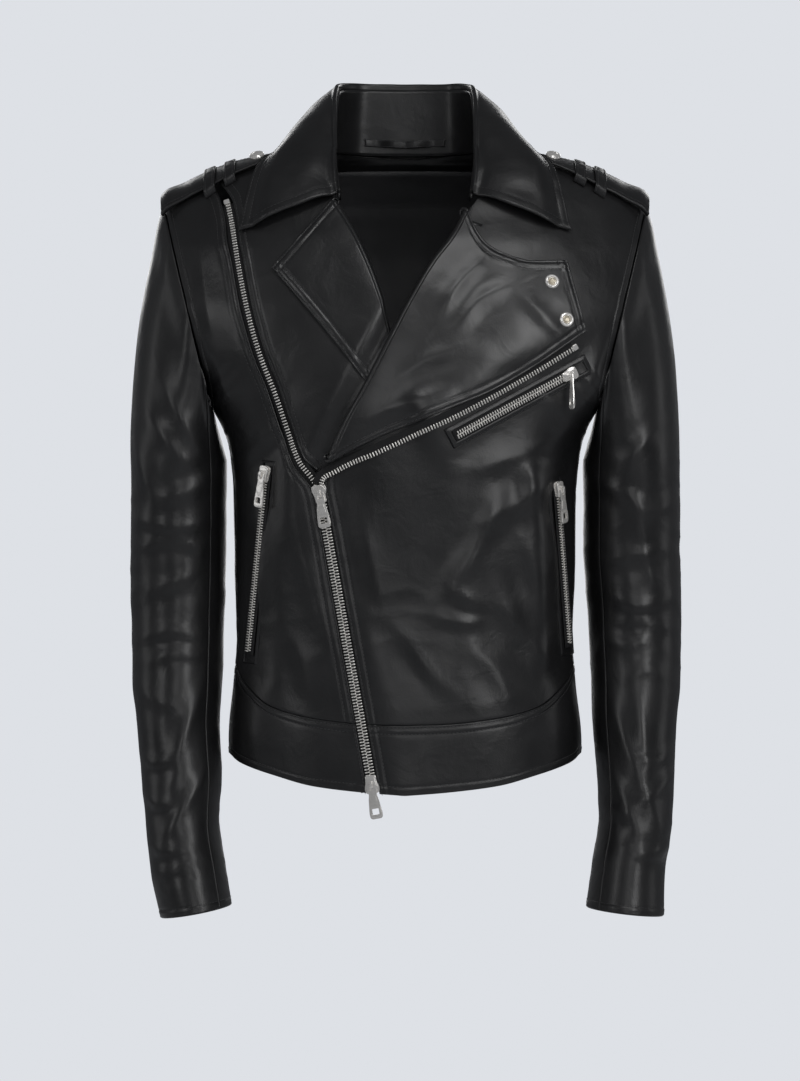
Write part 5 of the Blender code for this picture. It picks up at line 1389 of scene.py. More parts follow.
def even_t(sign, psi, n=60):
    """Fractions of t spaced evenly along the sleeve."""
    t = np.linspace(0, 2, 400)
    P = sleeve_point(sign, np.full(t.shape, float(psi)), t)
    s = np.concatenate([[0], np.cumsum(np.linalg.norm(np.diff(P, axis=0), axis=1))])
    return np.interp(np.linspace(0, s[-1], n), s, t)


def crown(P, base):
    return 0.0


for side, sign in (("left", 1), ("right", -1)):
    surf = sleeve_surf(sign)
    table = sleeve_disp(sign)
    for part, a, b in (("top", -134.9, 134.9), ("under", 135.1, 224.9)):
        lo = np.stack([np.linspace(a, b, 30), np.full(30, 2.0)], -1)
        hi = np.stack([np.linspace(a, b, 30), np.zeros(30)], -1)
        le = np.stack([np.full(60, a), even_t(sign, a)[::-1]], -1)
        ri = np.stack([np.full(60, b), even_t(sign, b)[::-1]], -1)
        for line in (le, ri):
            line[0, 1], line[-1, 1] = 2.0, 0.0

        def sleeve_off(P, sign=sign):
            # the head of the sleeve stands a little proud of the armhole seam
            ax = np.abs(P[..., 0]) - arm_x(P[..., 2])
            near = np.exp(-(((ax - 9) / 9.0) ** 2)) * np.clip((P[..., 2] + 190) / 60, 0, 1)
            return 1.6 * near

        s = Sheet(f"sleeve_{side}_{part}_piece", (lo, hi, le, ri), surf, M_LEATHER, off=sleeve_off, kinds=("fold", "seam", "seam", "seam"), disp=table, stitch=((0, 7.5),), fade=10, h=3.2)
        put(s.obj, JACKET, [f"sleeve_{side}_{part}"])
        stitch_line(JACKET, s.iso(0, 7.5, trim=False))
    psi, t = np.meshgrid(np.linspace(0, 360, 61)[:-1], np.concatenate([np.linspace(0.25, 1.0, 14), np.linspace(1.05, 1.94, 40)]))
    base = surf(psi, t, np.zeros(psi.shape))
    nn = surf(psi, t, np.ones(psi.shape)) - base
    w = 0.9 * ridged(base / np.array([30.0, 30.0, 14.0]), 90)
    verts, quads = closed_grid(base + nn * (-4.4 + w)[..., None], base + nn * (-5.0 + w)[..., None], wrap=True)
    put(make_mesh(f"sleeve_{side}_lining_tube", verts, [quads], M_LINING), JACKET, [f"sleeve_lining_{side}"], "lining")

# ================================================================ lapels
LAPEL_OUT, LAPEL_THICK = 4.4, 2.0


def with_roll(sides, surf, roll_side):
    return sides


lap_low = [(-66.0, -274.0), (-48, -264.5), (-18, -250), (13, -238.0), (39, -227.0), (74, -212), (114, -189), (151, -164), (163, -156)]
lap_top = [(57.0, -49.0), (61, -61), (71, -76), (90, -87), (113, -93), (146, -92)]
lap_left = [(-66.0, -274.0), (-50, -237), (-36, -212), (-11, -163), (4, -134), (26, -97), (47, -69), (57.0, -49)]
lap_right = [(163, -156.0), (146, -92)]


def lapel_disp(P, N):
    x, z = P[..., 0], P[..., 2]
    # folds across the lapel and soft unevenness; the lift towards the roll line is added by roll_lift in the sheet's
    # offset
    return fold_field(x, z, LAPEL_FOLDS) + 0.8 * vnoise(P / 45.0, 33) + 0.3 * vnoise(P / 18.0, 34)


def roll_lift(line, reach, high):
    p = np.asarray(line, float)

    def f(P):
        x, z = P[..., 0], P[..., 2]
        xr = np.interp(z, p[::1, 1] if p[0, 1] < p[-1, 1] else p[::-1, 1], p[::1, 0] if p[0, 1] < p[-1, 1] else p[::-1, 0])
        d = np.abs(x - xr) * 0.85
        return high * np.exp(-((d / reach) ** 2))

    return f


lift_l = roll_lift(lap_left, 26.0, 3.4)
s = Sheet("lapel_left_flap", (lap_low, lap_top, lap_left, lap_right), front, M_LAPEL, off=lambda P: LAPEL_OUT - 0.4 + lift_l(P), thick=LAPEL_THICK, kinds=("fold", "fold", None, "fold"), disp=lapel_disp, stitch=((0, 2.4), (0, 8.4), (1, 2.4), (1, 8.4), (3, 2.4), (3, 8.4)), fade=10, h=2.8)
put(s.obj, LL, ["lapel_left"])
for e in (0, 1, 3):
    stitch_line(LL, s.iso(e, 2.4))
    stitch_line(LL, s.iso(e, 8.4))
LAP_L = s


def roll_strip(name, sheet, column, out_side, radius, tail, body, mat):
    """The rolled edge: leaves the flap at its fold line and turns under it."""
    P, N = sheet.outer[:, column], sheet.nrm[:, column]
    T = np.gradient(P, axis=0)
    T /= np.linalg.norm(T, axis=1, keepdims=True)
    X = np.cross(T, N)
    X /= np.linalg.norm(X, axis=1, keepdims=True)
    X = X * out_side
    nxt = sheet.outer[:, 1 if column == 0 else -2]
    # the direction the flap is heading as it reaches the fold
    head = P - nxt
    head -= T * np.einsum("ij,ij->i", head, T)[:, None]
    head /= np.linalg.norm(head, axis=1, keepdims=True)
    down = N - head * np.einsum("ij,ij->i", N, head)[:, None]
    down /= -np.linalg.norm(down, axis=1, keepdims=True)
    rows = [P - head * 0.4 - down * -0.02]
    for a in np.linspace(0.0, math.pi, 12)[1:]:
        rows.append(P + head * (radius * math.sin(a)) + down * (radius * (1 - math.cos(a))))
    last = rows[-1]
    for k in (3.0, 7.0, tail):
        rows.append(last - head * k)
    R = np.stack(rows, 1)
    n = grid_normals(R)
    ref = N[:, None] * np.ones(R.shape)
    if np.einsum("ik,ik->i", n[:, 1], N).sum() < 0:
        n = -n
    verts, quads = closed_grid(R, R - n * 0.8)
    return put(make_mesh(name, verts, [quads], mat), body, (), "leather")


roll_strip("lapel_left_roll", LAP_L, 0, 1, 4.2, 16.0, "BLEND_L", M_LAPEL)

rl_low = [(-33.0, -206.0), (-12.0, -170.0)]
rl_top = [(-120.0, -99.0), (-66, -38.0)]
rl_left = [(-33.0, -206.0), (-76, -151), (-120, -99)]
rl_right = [(-12.0, -170.0), (-22, -131), (-41.5, -80), (-66, -38.0)]
lift_r = roll_lift(rl_right, 20.0, 1.8)
s = Sheet("lapel_right_flap", (rl_low, rl_top, rl_left, rl_right), front, M_LAPEL, off=lambda P: 4.0 + lift_r(P) * (1 - under_depth(P[..., 0], P[..., 2])) - 6.9 * under_depth(P[..., 0], P[..., 2]), thick=1.8, kinds=(None, "fold", "fold", None), disp=lambda P, N: 0.5 * vnoise(P / 40.0, 35), stitch=((1, 2.4), (1, 8.4), (2, 2.4), (2, 8.4)), fade=8, h=2.6)
put(s.obj, LR, ["lapel_right"])
for e in (1, 2):
    stitch_line(LR, s.iso(e, 2.4))
    stitch_line(LR, s.iso(e, 8.4))
roll_strip("lapel_right_roll", s, -1, -1, 3.4, 14.0, "BLEND_R", M_LAPEL)

# ================================================================ collar
def fold_over(u):
    F = both(FOLD, u)
    out = F - np.array([0, 5.0, 0])
    out[..., 2] = 0
    out = out / np.maximum(np.linalg.norm(out, axis=-1, keepdims=True), 1e-9)
    return F, out


uu = np.linspace(-1.0, 1.0, 181)
first = (np.array(EDGE_STEPS) / 90.0)
vv = np.concatenate([np.linspace(0.0, 1 - first[-1], 30)[:-1], 1 - first[::-1]])
end_d = 0.995
uu = np.sin(np.clip(uu, -1, 1) * math.pi / 2 * 0.86) / math.sin(math.pi / 2 * 0.86)


def round_u(u, w=0.3):
    """u with the corner at the centre back taken out of |u|."""
    a = np.abs(u)
    return np.where(a < w, (a * a + w * w) / (2 * w), a)


def rounded_at_centre(point, U, V):
    P, Q = point(U, V), point(round_u(U), V)
    return np.stack([P[..., 0], Q[..., 1], Q[..., 2]], -1)


U, V = np.meshgrid(uu * 0.998, vv)
Lf = rounded_at_centre(collar_leaf_point, U, V)
Lf = lifted(lifted(Lf, 4.8), 4.8)
N0 = grid_normals(Lf)
mid = len(uu) // 2
if N0[10, mid, 1] < 0:
    N0 = -N0
du = np.linalg.norm(np.diff(Lf, axis=1), axis=-1)
dl = np.concatenate([np.zeros((len(vv), 1)), np.cumsum(du, 1)], 1)
dr = dl[:, -1:] - dl
dv = np.linalg.norm(np.diff(Lf, axis=0), axis=-1)
dt = np.concatenate([np.zeros((1, Lf.shape[1])), np.cumsum(dv, 0)], 0)
de = dt[-1:] - dt
drop = np.minimum.reduce([edge_drop(dl, "fold"), edge_drop(dr, "fold"), edge_drop(de, "fold")])
amount = 0.9 * vnoise(Lf / 38.0, 51) + 0.4 * vnoise(Lf / 16.0, 52)
puff = np.zeros(de.shape)
for at in (2.4, 8.4):
    for d in (de, dl, dr):
        puff += -0.24 * np.exp(-(((d - at) / 0.9) ** 2))
outer = Lf + N0 * (1.0 + amount + drop + puff)[..., None]
# roll over the top, down inside
F, out = fold_over(uu * 0.998)
r = 2.3
roll = []
for a in np.linspace(math.pi, 0.15, 10):
    roll.append(outer[0] - out * (r * (1 + math.cos(a))) * 0 + (-out) * (r - r * math.cos(math.pi - a)) + np.array([0, 0, 1.0]) * r * math.sin(math.pi - a))
roll = np.array(roll)[::-1]
tail = [roll[0] + np.array([0, 0, -6.0]), roll[0] + np.array([0, 0, -3.0])]
full = np.concatenate([np.array(tail), roll[:-1], outer], 0)
nf = grid_normals(full)
if nf[-10, mid, 1] < 0:
    nf = -nf
inner = full - nf * 1.5
k = len(full) - len(outer)
inner[k:] = Lf - N0 * (1.0 - amount * 0.6)[..., None] - N0 * (-0.6 * drop)[..., None]
verts, quads = closed_grid(full, inner)
put(make_mesh("collar_leaf_piece", verts, [quads], M_LEATHER), JACKET, ["collar_leaf"])


def row_iso(P, N, d, at, axis):
    pts, nor = [], []
    for r_ in range(P.shape[1 - axis]):
        dd = d[:, r_] if axis == 0 else d[r_]
        pp = P[:, r_] if axis == 0 else P[r_]
        nn_ = N[:, r_] if axis == 0 else N[r_]
        o = np.argsort(dd)
        dd, pp, nn_ = dd[o], pp[o], nn_[o]
        q = int(np.clip(np.searchsorted(dd, at), 1, len(dd) - 1))
        f = (at - dd[q - 1]) / max(dd[q] - dd[q - 1], 1e-9)
        pts.append(pp[q - 1] * (1 - f) + pp[q] * f)
        nor.append(nn_[q - 1] * (1 - f) + nn_[q] * f)
    return np.array(pts), np.array(nor)


nc = grid_normals(outer)
if nc[10, mid, 1] < 0:
    nc = -nc
for at in (2.4, 8.4):
    pts, nor = row_iso(outer, nc, de, at, 0)
    keep = (dl[-1] > at) & (dr[-1] > at)
    stitch_line(JACKET, (pts[keep], nor[keep]))
    for d in (dl, dr):
        pts, nor = row_iso(outer, nc, d, at, 1)
        edge_d = de[:, 0 if d is dl else -1]
        keep = (edge_d > at) & (dt[:, 0 if d is dl else -1] > 3)
        stitch_line(JACKET, (pts[keep], nor[keep]))

# stand
us = np.linspace(-0.97, 0.97, 121)
U, V = np.meshgrid(us, np.linspace(-0.03, 1.03, 22))
St = rounded_at_centre(stand_point, U, V)
ns_ = grid_normals(St)
if ns_[5, 60, 1] < 0:
    ns_ = -ns_
w = 0.35 * vnoise(St / 22.0, 55)
verts, quads = closed_grid(St + ns_ * (0.2 + w)[..., None], St - ns_ * (1.8 - w)[..., None])
put(make_mesh("collar_stand_piece", verts, [quads], M_LEATHER), JACKET, ["collar_stand"])

# ================================================================ shoulder straps, keepers, buttons
def roof_sheet(name, xs, half, yc, off, thick, sign, mat, edge=True):
    pass


for side, sign in (("left", 1), ("right", -1)):
    xs = 124 + 94 * spaced(94, 2.4, True, True)
    vs = -1 + 2 * spaced(36, 2.4, True, True)
    xx, vv_ = np.meshgrid(xs, vs, indexing="ij")
    yc = STRAP_Y(xx)[..., 0]
    half = HALF(xx)[..., 0]
    point = 8.5 * vv_ * np.clip(1 - (xx - 124) / 20, 0, 1)
    X, Y = xx - point, yc + vv_ * half
    base = roof_point(X, Y, np.zeros(X.shape))
    n0 = roof_point(X, Y, np.ones(X.shape)) - base
    dy = (1 - np.abs(vv_)) * half
    drop = np.minimum(edge_drop(np.maximum(0, xx - 124) * 0.9, "fold"), np.minimum(edge_drop(218 - xx, "fold"), edge_drop(dy, "fold")))
    valley = np.zeros(X.shape)
    for at in (2.3,):
        valley += -0.25 * np.exp(-(((dy - at) / 0.9) ** 2)) - 0.25 * np.exp(-((((xx - 124) * 0.9 - at) / 0.9) ** 2)) - 0.25 * np.exp(-(((218 - xx - at) / 0.9) ** 2))
    # the outer end is thick and rolled where it meets the armhole
    end = 1.2 * np.exp(-(((xx - 213) / 6.0) ** 2))
    bend = 0.8 * vnoise(base / 22.0, 71) + end
    rise = strap_rise(X)
    top = base + n0 * (5.5 + drop + valley + bend + rise)[..., None]
    low_ = base + n0 * (2.9 + bend * 0.4 + rise * 0.55 - 0.3 * drop)[..., None]
    top[..., 0] *= sign
    low_[..., 0] *= sign
    verts, quads = closed_grid(top, low_)
    put(make_mesh(f"shoulder_strap_{side}", verts, [quads], M_LEATHER), JACKET, [f"epaulette_{side}"])
    nt_ = grid_normals(top)
    if nt_[10, len(vs) // 2, 2] < 0:
        nt_ = -nt_
    for d, axis in ((((1 - np.abs(vv_)) * half) * np.where(vv_ < 0, 1, 99), 1), (((1 - np.abs(vv_)) * half) * np.where(vv_ >= 0, 1, 99), 1)):
        pts, nor = row_iso(top, nt_, d, 2.3, 1)
        stitch_line(JACKET, (pts[4:-3], nor[4:-3]))
    d = (xx - 124) * 0.93
    pts, nor = row_iso(top, nt_, d, 2.3, 0)
    stitch_line(JACKET, (pts[3:-3], nor[3:-3]))
    # keepers
    for k_, x0 in enumerate((153.5, 171.5), 1):
        y0, h0 = float(STRAP_Y(x0 + 5)[0]), float(HALF(x0 + 5)[0])
        path = [(-h0 - 5.2, 0.2), (-h0 - 4.4, 3.6), (-h0 - 2.4, 6.9), (-h0 * 0.6, 7.9), (0, 8.1), (h0 * 0.6, 7.9), (h0 + 2.4, 6.9), (h0 + 4.4, 3.6), (h0 + 5.2, 0.2)]
        pp = resample(path, np.linspace(0, 1, 60))
        xa = spaced(10.0, 1.2, True, True) * 10
        Xk, I = np.meshgrid(x0 + xa, np.arange(len(pp)))
        dk = np.minimum(Xk - x0, x0 + 10 - Xk)
        drop = edge_drop(dk, "turn") - 0.22 * np.exp(-(((dk - 2.0) / 0.7) ** 2)) + 0.15 * np.sin(pp[I, 0] * 0.9) * 0.4
        gtop = roof_point(Xk, y0 + pp[I, 0], pp[I, 1])
        gn = grid_normals(gtop)
        if gn[30, 3, 2] < 0:
            gn = -gn
        a_, b_ = gtop + gn * drop[..., None], gtop - gn * 1.5
        a_[..., 0] *= sign
        b_[..., 0] *= sign
        verts, quads = closed_grid(a_, b_)
        put(make_mesh(f"strap_keeper_{side}_{k_}", verts, [quads], M_LEATHER), JACKET, [f"epaulette_loop_{side}_{k_}"])
        ga = grid_normals(a_)
        if ga[30, 3, 2] < 0:
            ga = -ga
        for at in (2.0, 8.0):
            pts, nor = row_iso(a_, ga, Xk - x0, at, 1)
            stitch_line(JACKET, (pts[4:-4], nor[4:-4]), 3.0)


def turned(name, centre, axis, profile, mat, count=40, knurl=0.0, ribs=0):
    z = np.asarray(axis, float)
    z = z / np.linalg.norm(z)
    x = np.cross(z, (0.0, 1.0, 0.2))
    x /= np.linalg.norm(x)
    y = np.cross(z, x)
    prof = np.asarray(profile, float)
    a = np.linspace(0, 2 * math.pi, count, endpoint=False)
    R = prof[1:-1]
    rad = R[:, 0][:, None] * (1 + knurl * np.cos(ribs * a)[None] * (R[:, 0] > R[:, 0].max() * 0.9)[:, None])
    V = centre + (x * np.cos(a)[None, :, None] + y * np.sin(a)[None, :, None]) * rad[..., None] + z * R[:, 1][:, None, None]
    m = len(R)
    idx = np.arange(m * count).reshape(m, count)
    nx = np.roll(idx, -1, 1)
    quads = np.stack([idx[:-1], nx[:-1], nx[1:], idx[1:]], -1).reshape(-1, 4)
    verts = np.concatenate([V.reshape(-1, 3), [centre + z * prof[0][1]], [centre + z * prof[-1][1]]])
    f0 = np.stack([np.full(count, m * count), nx[0], idx[0]], -1)
    f1 = np.stack([np.full(count, m * count + 1), idx[-1], nx[-1]], -1)
    return (verts, [quads, np.concatenate([f0, f1])])


def rounded(points, r=0.35, n=4):
    """A profile with its corners rounded."""
    p = [np.array(q, float) for q in points]
    out = [p[0]]
    for i in range(1, len(p) - 1):
        a, b = p[i - 1] - p[i], p[i + 1] - p[i]
        la, lb = np.linalg.norm(a), np.linalg.norm(b)
        rr = min(r, la * 0.45, lb * 0.45)
        s0, s1 = p[i] + a / la * rr, p[i] + b / lb * rr
        for t in np.linspace(0, 1, n):
            out.append((1 - t) ** 2 * s0 + 2 * t * (1 - t) * p[i] + t * t * s1)
    out.append(p[-1])
    return out


for side, sign in (("left", 1), ("right", -1)):
    c = roof_point(np.array(134.5), np.array(float(STRAP_Y(134.5)[0])), np.array(5.2))
    c2 = roof_point(np.array(134.5), np.array(float(STRAP_Y(134.5)[0])), np.array(7.2))
    ax = c2 - c
    ax = ax / np.linalg.norm(ax) + np.array([0.0, -0.4, 0.0])
    c, ax = c * np.array([sign, 1, 1]) + np.array([0, -1.0, 0.8]), ax * np.array([sign, 1, 1])
    V, polys = turned("b", c, ax, rounded([(0, 0), (6.3, 0), (6.7, 1.4), (6.2, 2.3), (5.4, 2.3), (5.0, 1.9), (4.2, 2.7), (2.4, 3.5), (0, 3.8)], 0.4), M_NICKEL, 48, 0.03, 24)
    put(make_mesh(f"strap_button_{side}", V, polys, M_NICKEL), JACKET, [f"epaulette_button_{side}"], "nickel")

for i, (x, z) in enumerate([(132.0, -112.0), (143.0, -146.0)], 1):
    k = np.argmin(np.linalg.norm(LAP_L.base - front(np.array(x), np.array(z), np.array(0.0)), axis=-1))
    rr, cc = np.unravel_index(k, LAP_L.base.shape[:2])
    c, ax = LAP_L.outer[rr, cc], LAP_L.nrm[rr, cc]
    V, polys = turned("s", c, ax, rounded([(0, -0.4), (6.6, -0.4), (6.7, 0.5), (6.1, 1.5), (5.0, 1.9), (4.1, 1.5), (3.9, 0.5), (3.6, 0.4), (0, 0.4)], 0.3), M_NICKEL, 48)
    put(make_mesh(f"snap_ring_{i}", V, polys, M_NICKEL), "lapel_left_body", [f"snap_socket_{i}"], "nickel")
    V, polys = turned("s", c + ax * 0.4, ax, rounded([(0, 0), (3.5, 0), (3.5, 0.3), (2.6, 0.9), (2.2, 0.5), (1.5, 0.35), (0, 0.35)], 0.2), M_BRASS, 36)
    put(make_mesh(f"snap_eye_{i}", V, polys, M_BRASS), "lapel_left_body", (), "nickel")
for i, (x, z) in enumerate([(-106.0, -92.0), (-88.0, -112.0)], 1):
    c = front(np.array(x), np.array(z), np.array(0.3))
    V, polys = turned("s", c, normal(phi_front(x, z), z), rounded([(0, 0), (5.0, 0), (5.0, 0.6), (2.4, 0.8), (2.4, 1.6), (0, 1.8)], 0.2), M_NICKEL, 32)
    put(make_mesh(f"snap_stud_cap_{i}", V, polys, M_NICKEL), JACKET, [f"snap_stud_{i}"], "nickel")

# ================================================================ zips
def xz_line(path, off, step=1.0):
    p = np.asarray(path, float)
    length = np.linalg.norm(np.diff(p, axis=0), axis=1).sum()
    c = resample(p, np.linspace(0, 1, max(8, int(length / step))))
    P = front(c[:, 0], c[:, 1], np.full(len(c), 0.0))
    n = normal(phi_front(c[:, 0], c[:, 1]), c[:, 1])
    return P + n * np.asarray(off)[..., None] if np.ndim(off) else P + n * off, n


def tape(name, path, lo, hi, off, body, nodes, step=4.0, thick=0.6, extra=None):
    p = np.asarray(path, float)
    length = np.linalg.norm(np.diff(p, axis=0), axis=1).sum()
    c = resample(p, np.linspace(0, 1, max(6, int(length / step))))
    P = front(c[:, 0], c[:, 1], np.zeros(len(c)))
    n = normal(phi_front(c[:, 0], c[:, 1]), c[:, 1])
    T = np.gradient(P, axis=0)
    T /= np.linalg.norm(T, axis=1, keepdims=True)
    X = np.cross(T, n)
    w = np.linspace(lo, hi, 7)
    o = np.full(len(c), off) if extra is None else off + extra(P)
    R = P[:, None] + X[:, None] * w[None, :, None] + n[:, None] * (o[:, None] + 0.12 * np.cos((w - lo) / (hi - lo) * 12)[None])[..., None]
    verts, quads = closed_grid(R, R - n[:, None] * thick)
    return put(make_mesh(name, verts, [quads], M_TAPE), body, nodes, "zip_tape")


def line_beside(pts, nor, side):
    T = np.gradient(pts, axis=0)
    T /= np.linalg.norm(T, axis=1, keepdims=True)
    X = np.cross(T, nor)
    return pts + X * side, nor


closed_path = [beside(s_, 0.0) for s_ in np.linspace(9.0, 262.0, 24)]
pts, nor = xz_line(closed_path, 0.0, 1.0)
A, B = line_beside(pts, nor, 4.3)
tooth_row("main_a", (A - nor * 0.45, nor), 4.6, -1, phase=0.3)
A2, B2 = line_beside(pts, nor, -4.3)
tooth_row("main_b", (A2 - nor * 0.45, nor), 4.6, 1, phase=0.3 + 2.75 / 2)
tape("main_tape_a", [beside(s_, 0.0) for s_ in np.linspace(2.0, 274.0, 20)], 3.2, 11.5, -2.3, JACKET, ["main_tape_right"])
tape("main_tape_b", [beside(s_, 0.0) for s_ in np.linspace(2.0, 274.0, 20)], -11.5, -3.2, -2.3, JACKET, ["main_tape_left"])

# right stringer, up the chest; its teeth point towards the wearer's left
string = [(-78.2, -300.0), (-82.5, -292.0)] + [tuple(p) for p in STRING_R[1:]]
tape("chest_stringer_tape", string, -6.0, 6.0, -2.1, JACKET, ["chest_stringer_right"])
pts, nor = xz_line(string, 0.0, 1.0)
A, _ = line_beside(pts, nor, -1.6)
tooth_row("chest", (A - nor * 0.2, nor), 4.4, 1, pitch=2.75)
# left stringer: along the lapel's lower edge
string_l = [(-75.5, -296.0)] + [tuple(p) for p in STRING_L]
ll_off = 2.6
tape("lapel_stringer_tape", string_l, -7.5, 2.4, ll_off - 0.4, "BLEND_L", ["lapel_zip_row"])
pts, nor = xz_line(string_l, ll_off, 1.0)
A, _ = line_beside(pts, nor, -1.6)
tooth_row("lapel", (A + nor * 0.5, nor), 4.4, 1, pitch=2.75)


def extruded(outline, holes, lo, hi, frame):
    o, e1, e2, e3 = frame
    loops = [list(outline)] + [list(h) for h in holes]
    flat = [p for loop in loops for p in loop]
    n = len(flat)
    verts = [o + e1 * p[0] + e2 * p[1] + e3 * lo for p in flat] + [o + e1 * p[0] + e2 * p[1] + e3 * hi for p in flat]
    faces = []
    if holes:
        tris = tessellate_polygon([[Vector((p[0], p[1], 0)) for p in loop] for loop in loops])
    else:
        tris = [tuple(range(n))]

    def area(t):
        return sum(flat[t[i]][0] * flat[t[(i + 1) % len(t)]][1] - flat[t[(i + 1) % len(t)]][0] * flat[t[i]][1] for i in range(len(t)))

    for t in tris:
        t = tuple(t) if area(t) > 0 else tuple(t)[::-1]
        faces.append(t[::-1])
        faces.append(tuple(i + n for i in t))
    start = 0
    for number, loop in enumerate(loops):
        k = len(loop)
        turn = sum(loop[i][0] * loop[(i + 1) % k][1] - loop[(i + 1) % k][0] * loop[i][1] for i in range(k))
        forward = (turn > 0) == (number == 0)
        for i in range(k):
            a, b = start + i, start + (i + 1) % k
            if not forward:
                a, b = b, a
            faces.append((a, b, b + n, a + n))
        start += k
    return verts, faces


def solid_parts(name, bodies, mat, body, nodes, bevel=0.3):
    """One mesh of several bodies, their sharp edges rounded."""
    bm = bmesh.new()
    for item in bodies:
        verts, faces = item[0], item[1]
        width = item[2] if len(item) > 2 else bevel
        part = bmesh.new()
        vs_ = [part.verts.new(Vector([float(q) for q in v])) for v in verts]
        for f in faces:
            try:
                part.faces.new([vs_[i] for i in f])
            except ValueError:
                pass
        bmesh.ops.recalc_face_normals(part, faces=part.faces)
        bmesh.ops.dissolve_limit(part, angle_limit=0.02, verts=part.verts, edges=part.edges)
        sharp = [e for e in part.edges if len(e.link_faces) == 2 and e.calc_face_angle(0) > 0.35]
        if width:
            bmesh.ops.bevel(part, geom=sharp, offset=width, segments=3, profile=0.6, affect="EDGES", clamp_overlap=True)
        tmp = bpy.data.meshes.new("part")
        part.to_mesh(tmp)
        part.free()
        bm.from_mesh(tmp)
        bpy.data.meshes.remove(tmp)
    bmesh.ops.triangulate(bm, faces=[f for f in bm.faces if len(f.verts) > 4])
    for v in bm.verts:
        v.co *= 0.001
    mesh = bpy.data.meshes.new(name)
    bm.to_mesh(mesh)
    bm.free()
    for p in mesh.polygons:
        p.use_smooth = True
    mesh.materials.append(mat)
    obj = bpy.data.objects.new(name, mesh)
    bpy.context.scene.collection.objects.link(obj)
    obj.data.set_sharp_from_angle(angle=math.radians(38))
    return put(obj, body, nodes, "nickel")


def curved_outline(points, r=1.2, n=4):
    p = [np.array(q, float) for q in points]
    out = []
    m = len(p)
    for i in range(m):
        a, b = p[i - 1] - p[i], p[(i + 1) % m] - p[i]
        la, lb = np.linalg.norm(a), np.linalg.norm(b)
        rr = min(r, la * 0.4, lb * 0.4)
        s0, s1 = p[i] + a / la * rr, p[i] + b / lb * rr
        for t in np.linspace(0, 1, n):
            out.append(tuple((1 - t) ** 2 * s0 + 2 * t * (1 - t) * p[i] + t * t * s1))
    return out


SLIDER_PLAN = [(-4.4, 8.3), (4.4, 8.3), (5.2, 1.5), (6.8, -3.0), (6.2, -7.3), (3.0, -8.4), (-3.0, -8.4), (-6.2, -7.3), (-6.8, -3.0), (-5.2, 1.5)]


def slider(name, frame_, flip, lower, upper, grow, body, node):
    o, across, d, n = frame_
    sg = -1.0 if flip else 1.0
    fr = (o, across * sg, d * sg, n)
    plan = curved_outline([(x * grow, y * grow) for x, y in SLIDER_PLAN], 1.4)
    rim = [(x * 0.8, y * 0.82) for x, y in plan]
    post = [(-1.5, -7.4 * grow), (1.5, -7.4 * grow), (1.5, -5.2 * grow), (0, -3.2 * grow), (-1.5, -5.2 * grow)]
    wall = 1.5
    bodies = [
        (*extruded(plan, [], upper, upper + 1.2, fr), 0.45),
        (*extruded(rim, [], upper + 1.0, upper + 1.75, fr), 0.35),
        (*extruded([(x * 0.95, y * 0.97) for x, y in plan], [], lower - 1.0, lower, fr), 0.3),
        (*extruded(post, [], lower - 0.6, upper + 0.6, fr), 0.15),
    ]
    for q in (-1, 1):
        w = [(q * 5.0 * grow, -4.5 * grow), (q * 6.3 * grow, -4.2 * grow), (q * 5.0 * grow, 1.6), (q * 4.9 * grow, 7.6 * grow), (q * 4.1 * grow, 7.6 * grow), (q * 4.1 * grow, 1.4)]
        bodies.append((*extruded(w, [], upper - 1.1, upper + 0.4, fr), 0.2))
    arch = curved_outline([(-3.0, -0.5), (-1.9, -0.5), (-1.9, 2.7), (1.9, 2.7), (1.9, -0.5), (3.0, -0.5), (3.0, 3.0), (2.2, 3.8), (-2.2, 3.8), (-3.0, 3.0)], 0.5, 3)
    bodies.append((*extruded(arch, [], -1.25, 1.25, (o + n * (upper + 1.3), d * sg, n, np.cross(d * sg, n))), 0.25))
    return solid_parts(name, bodies, M_NICKEL, body, [node])


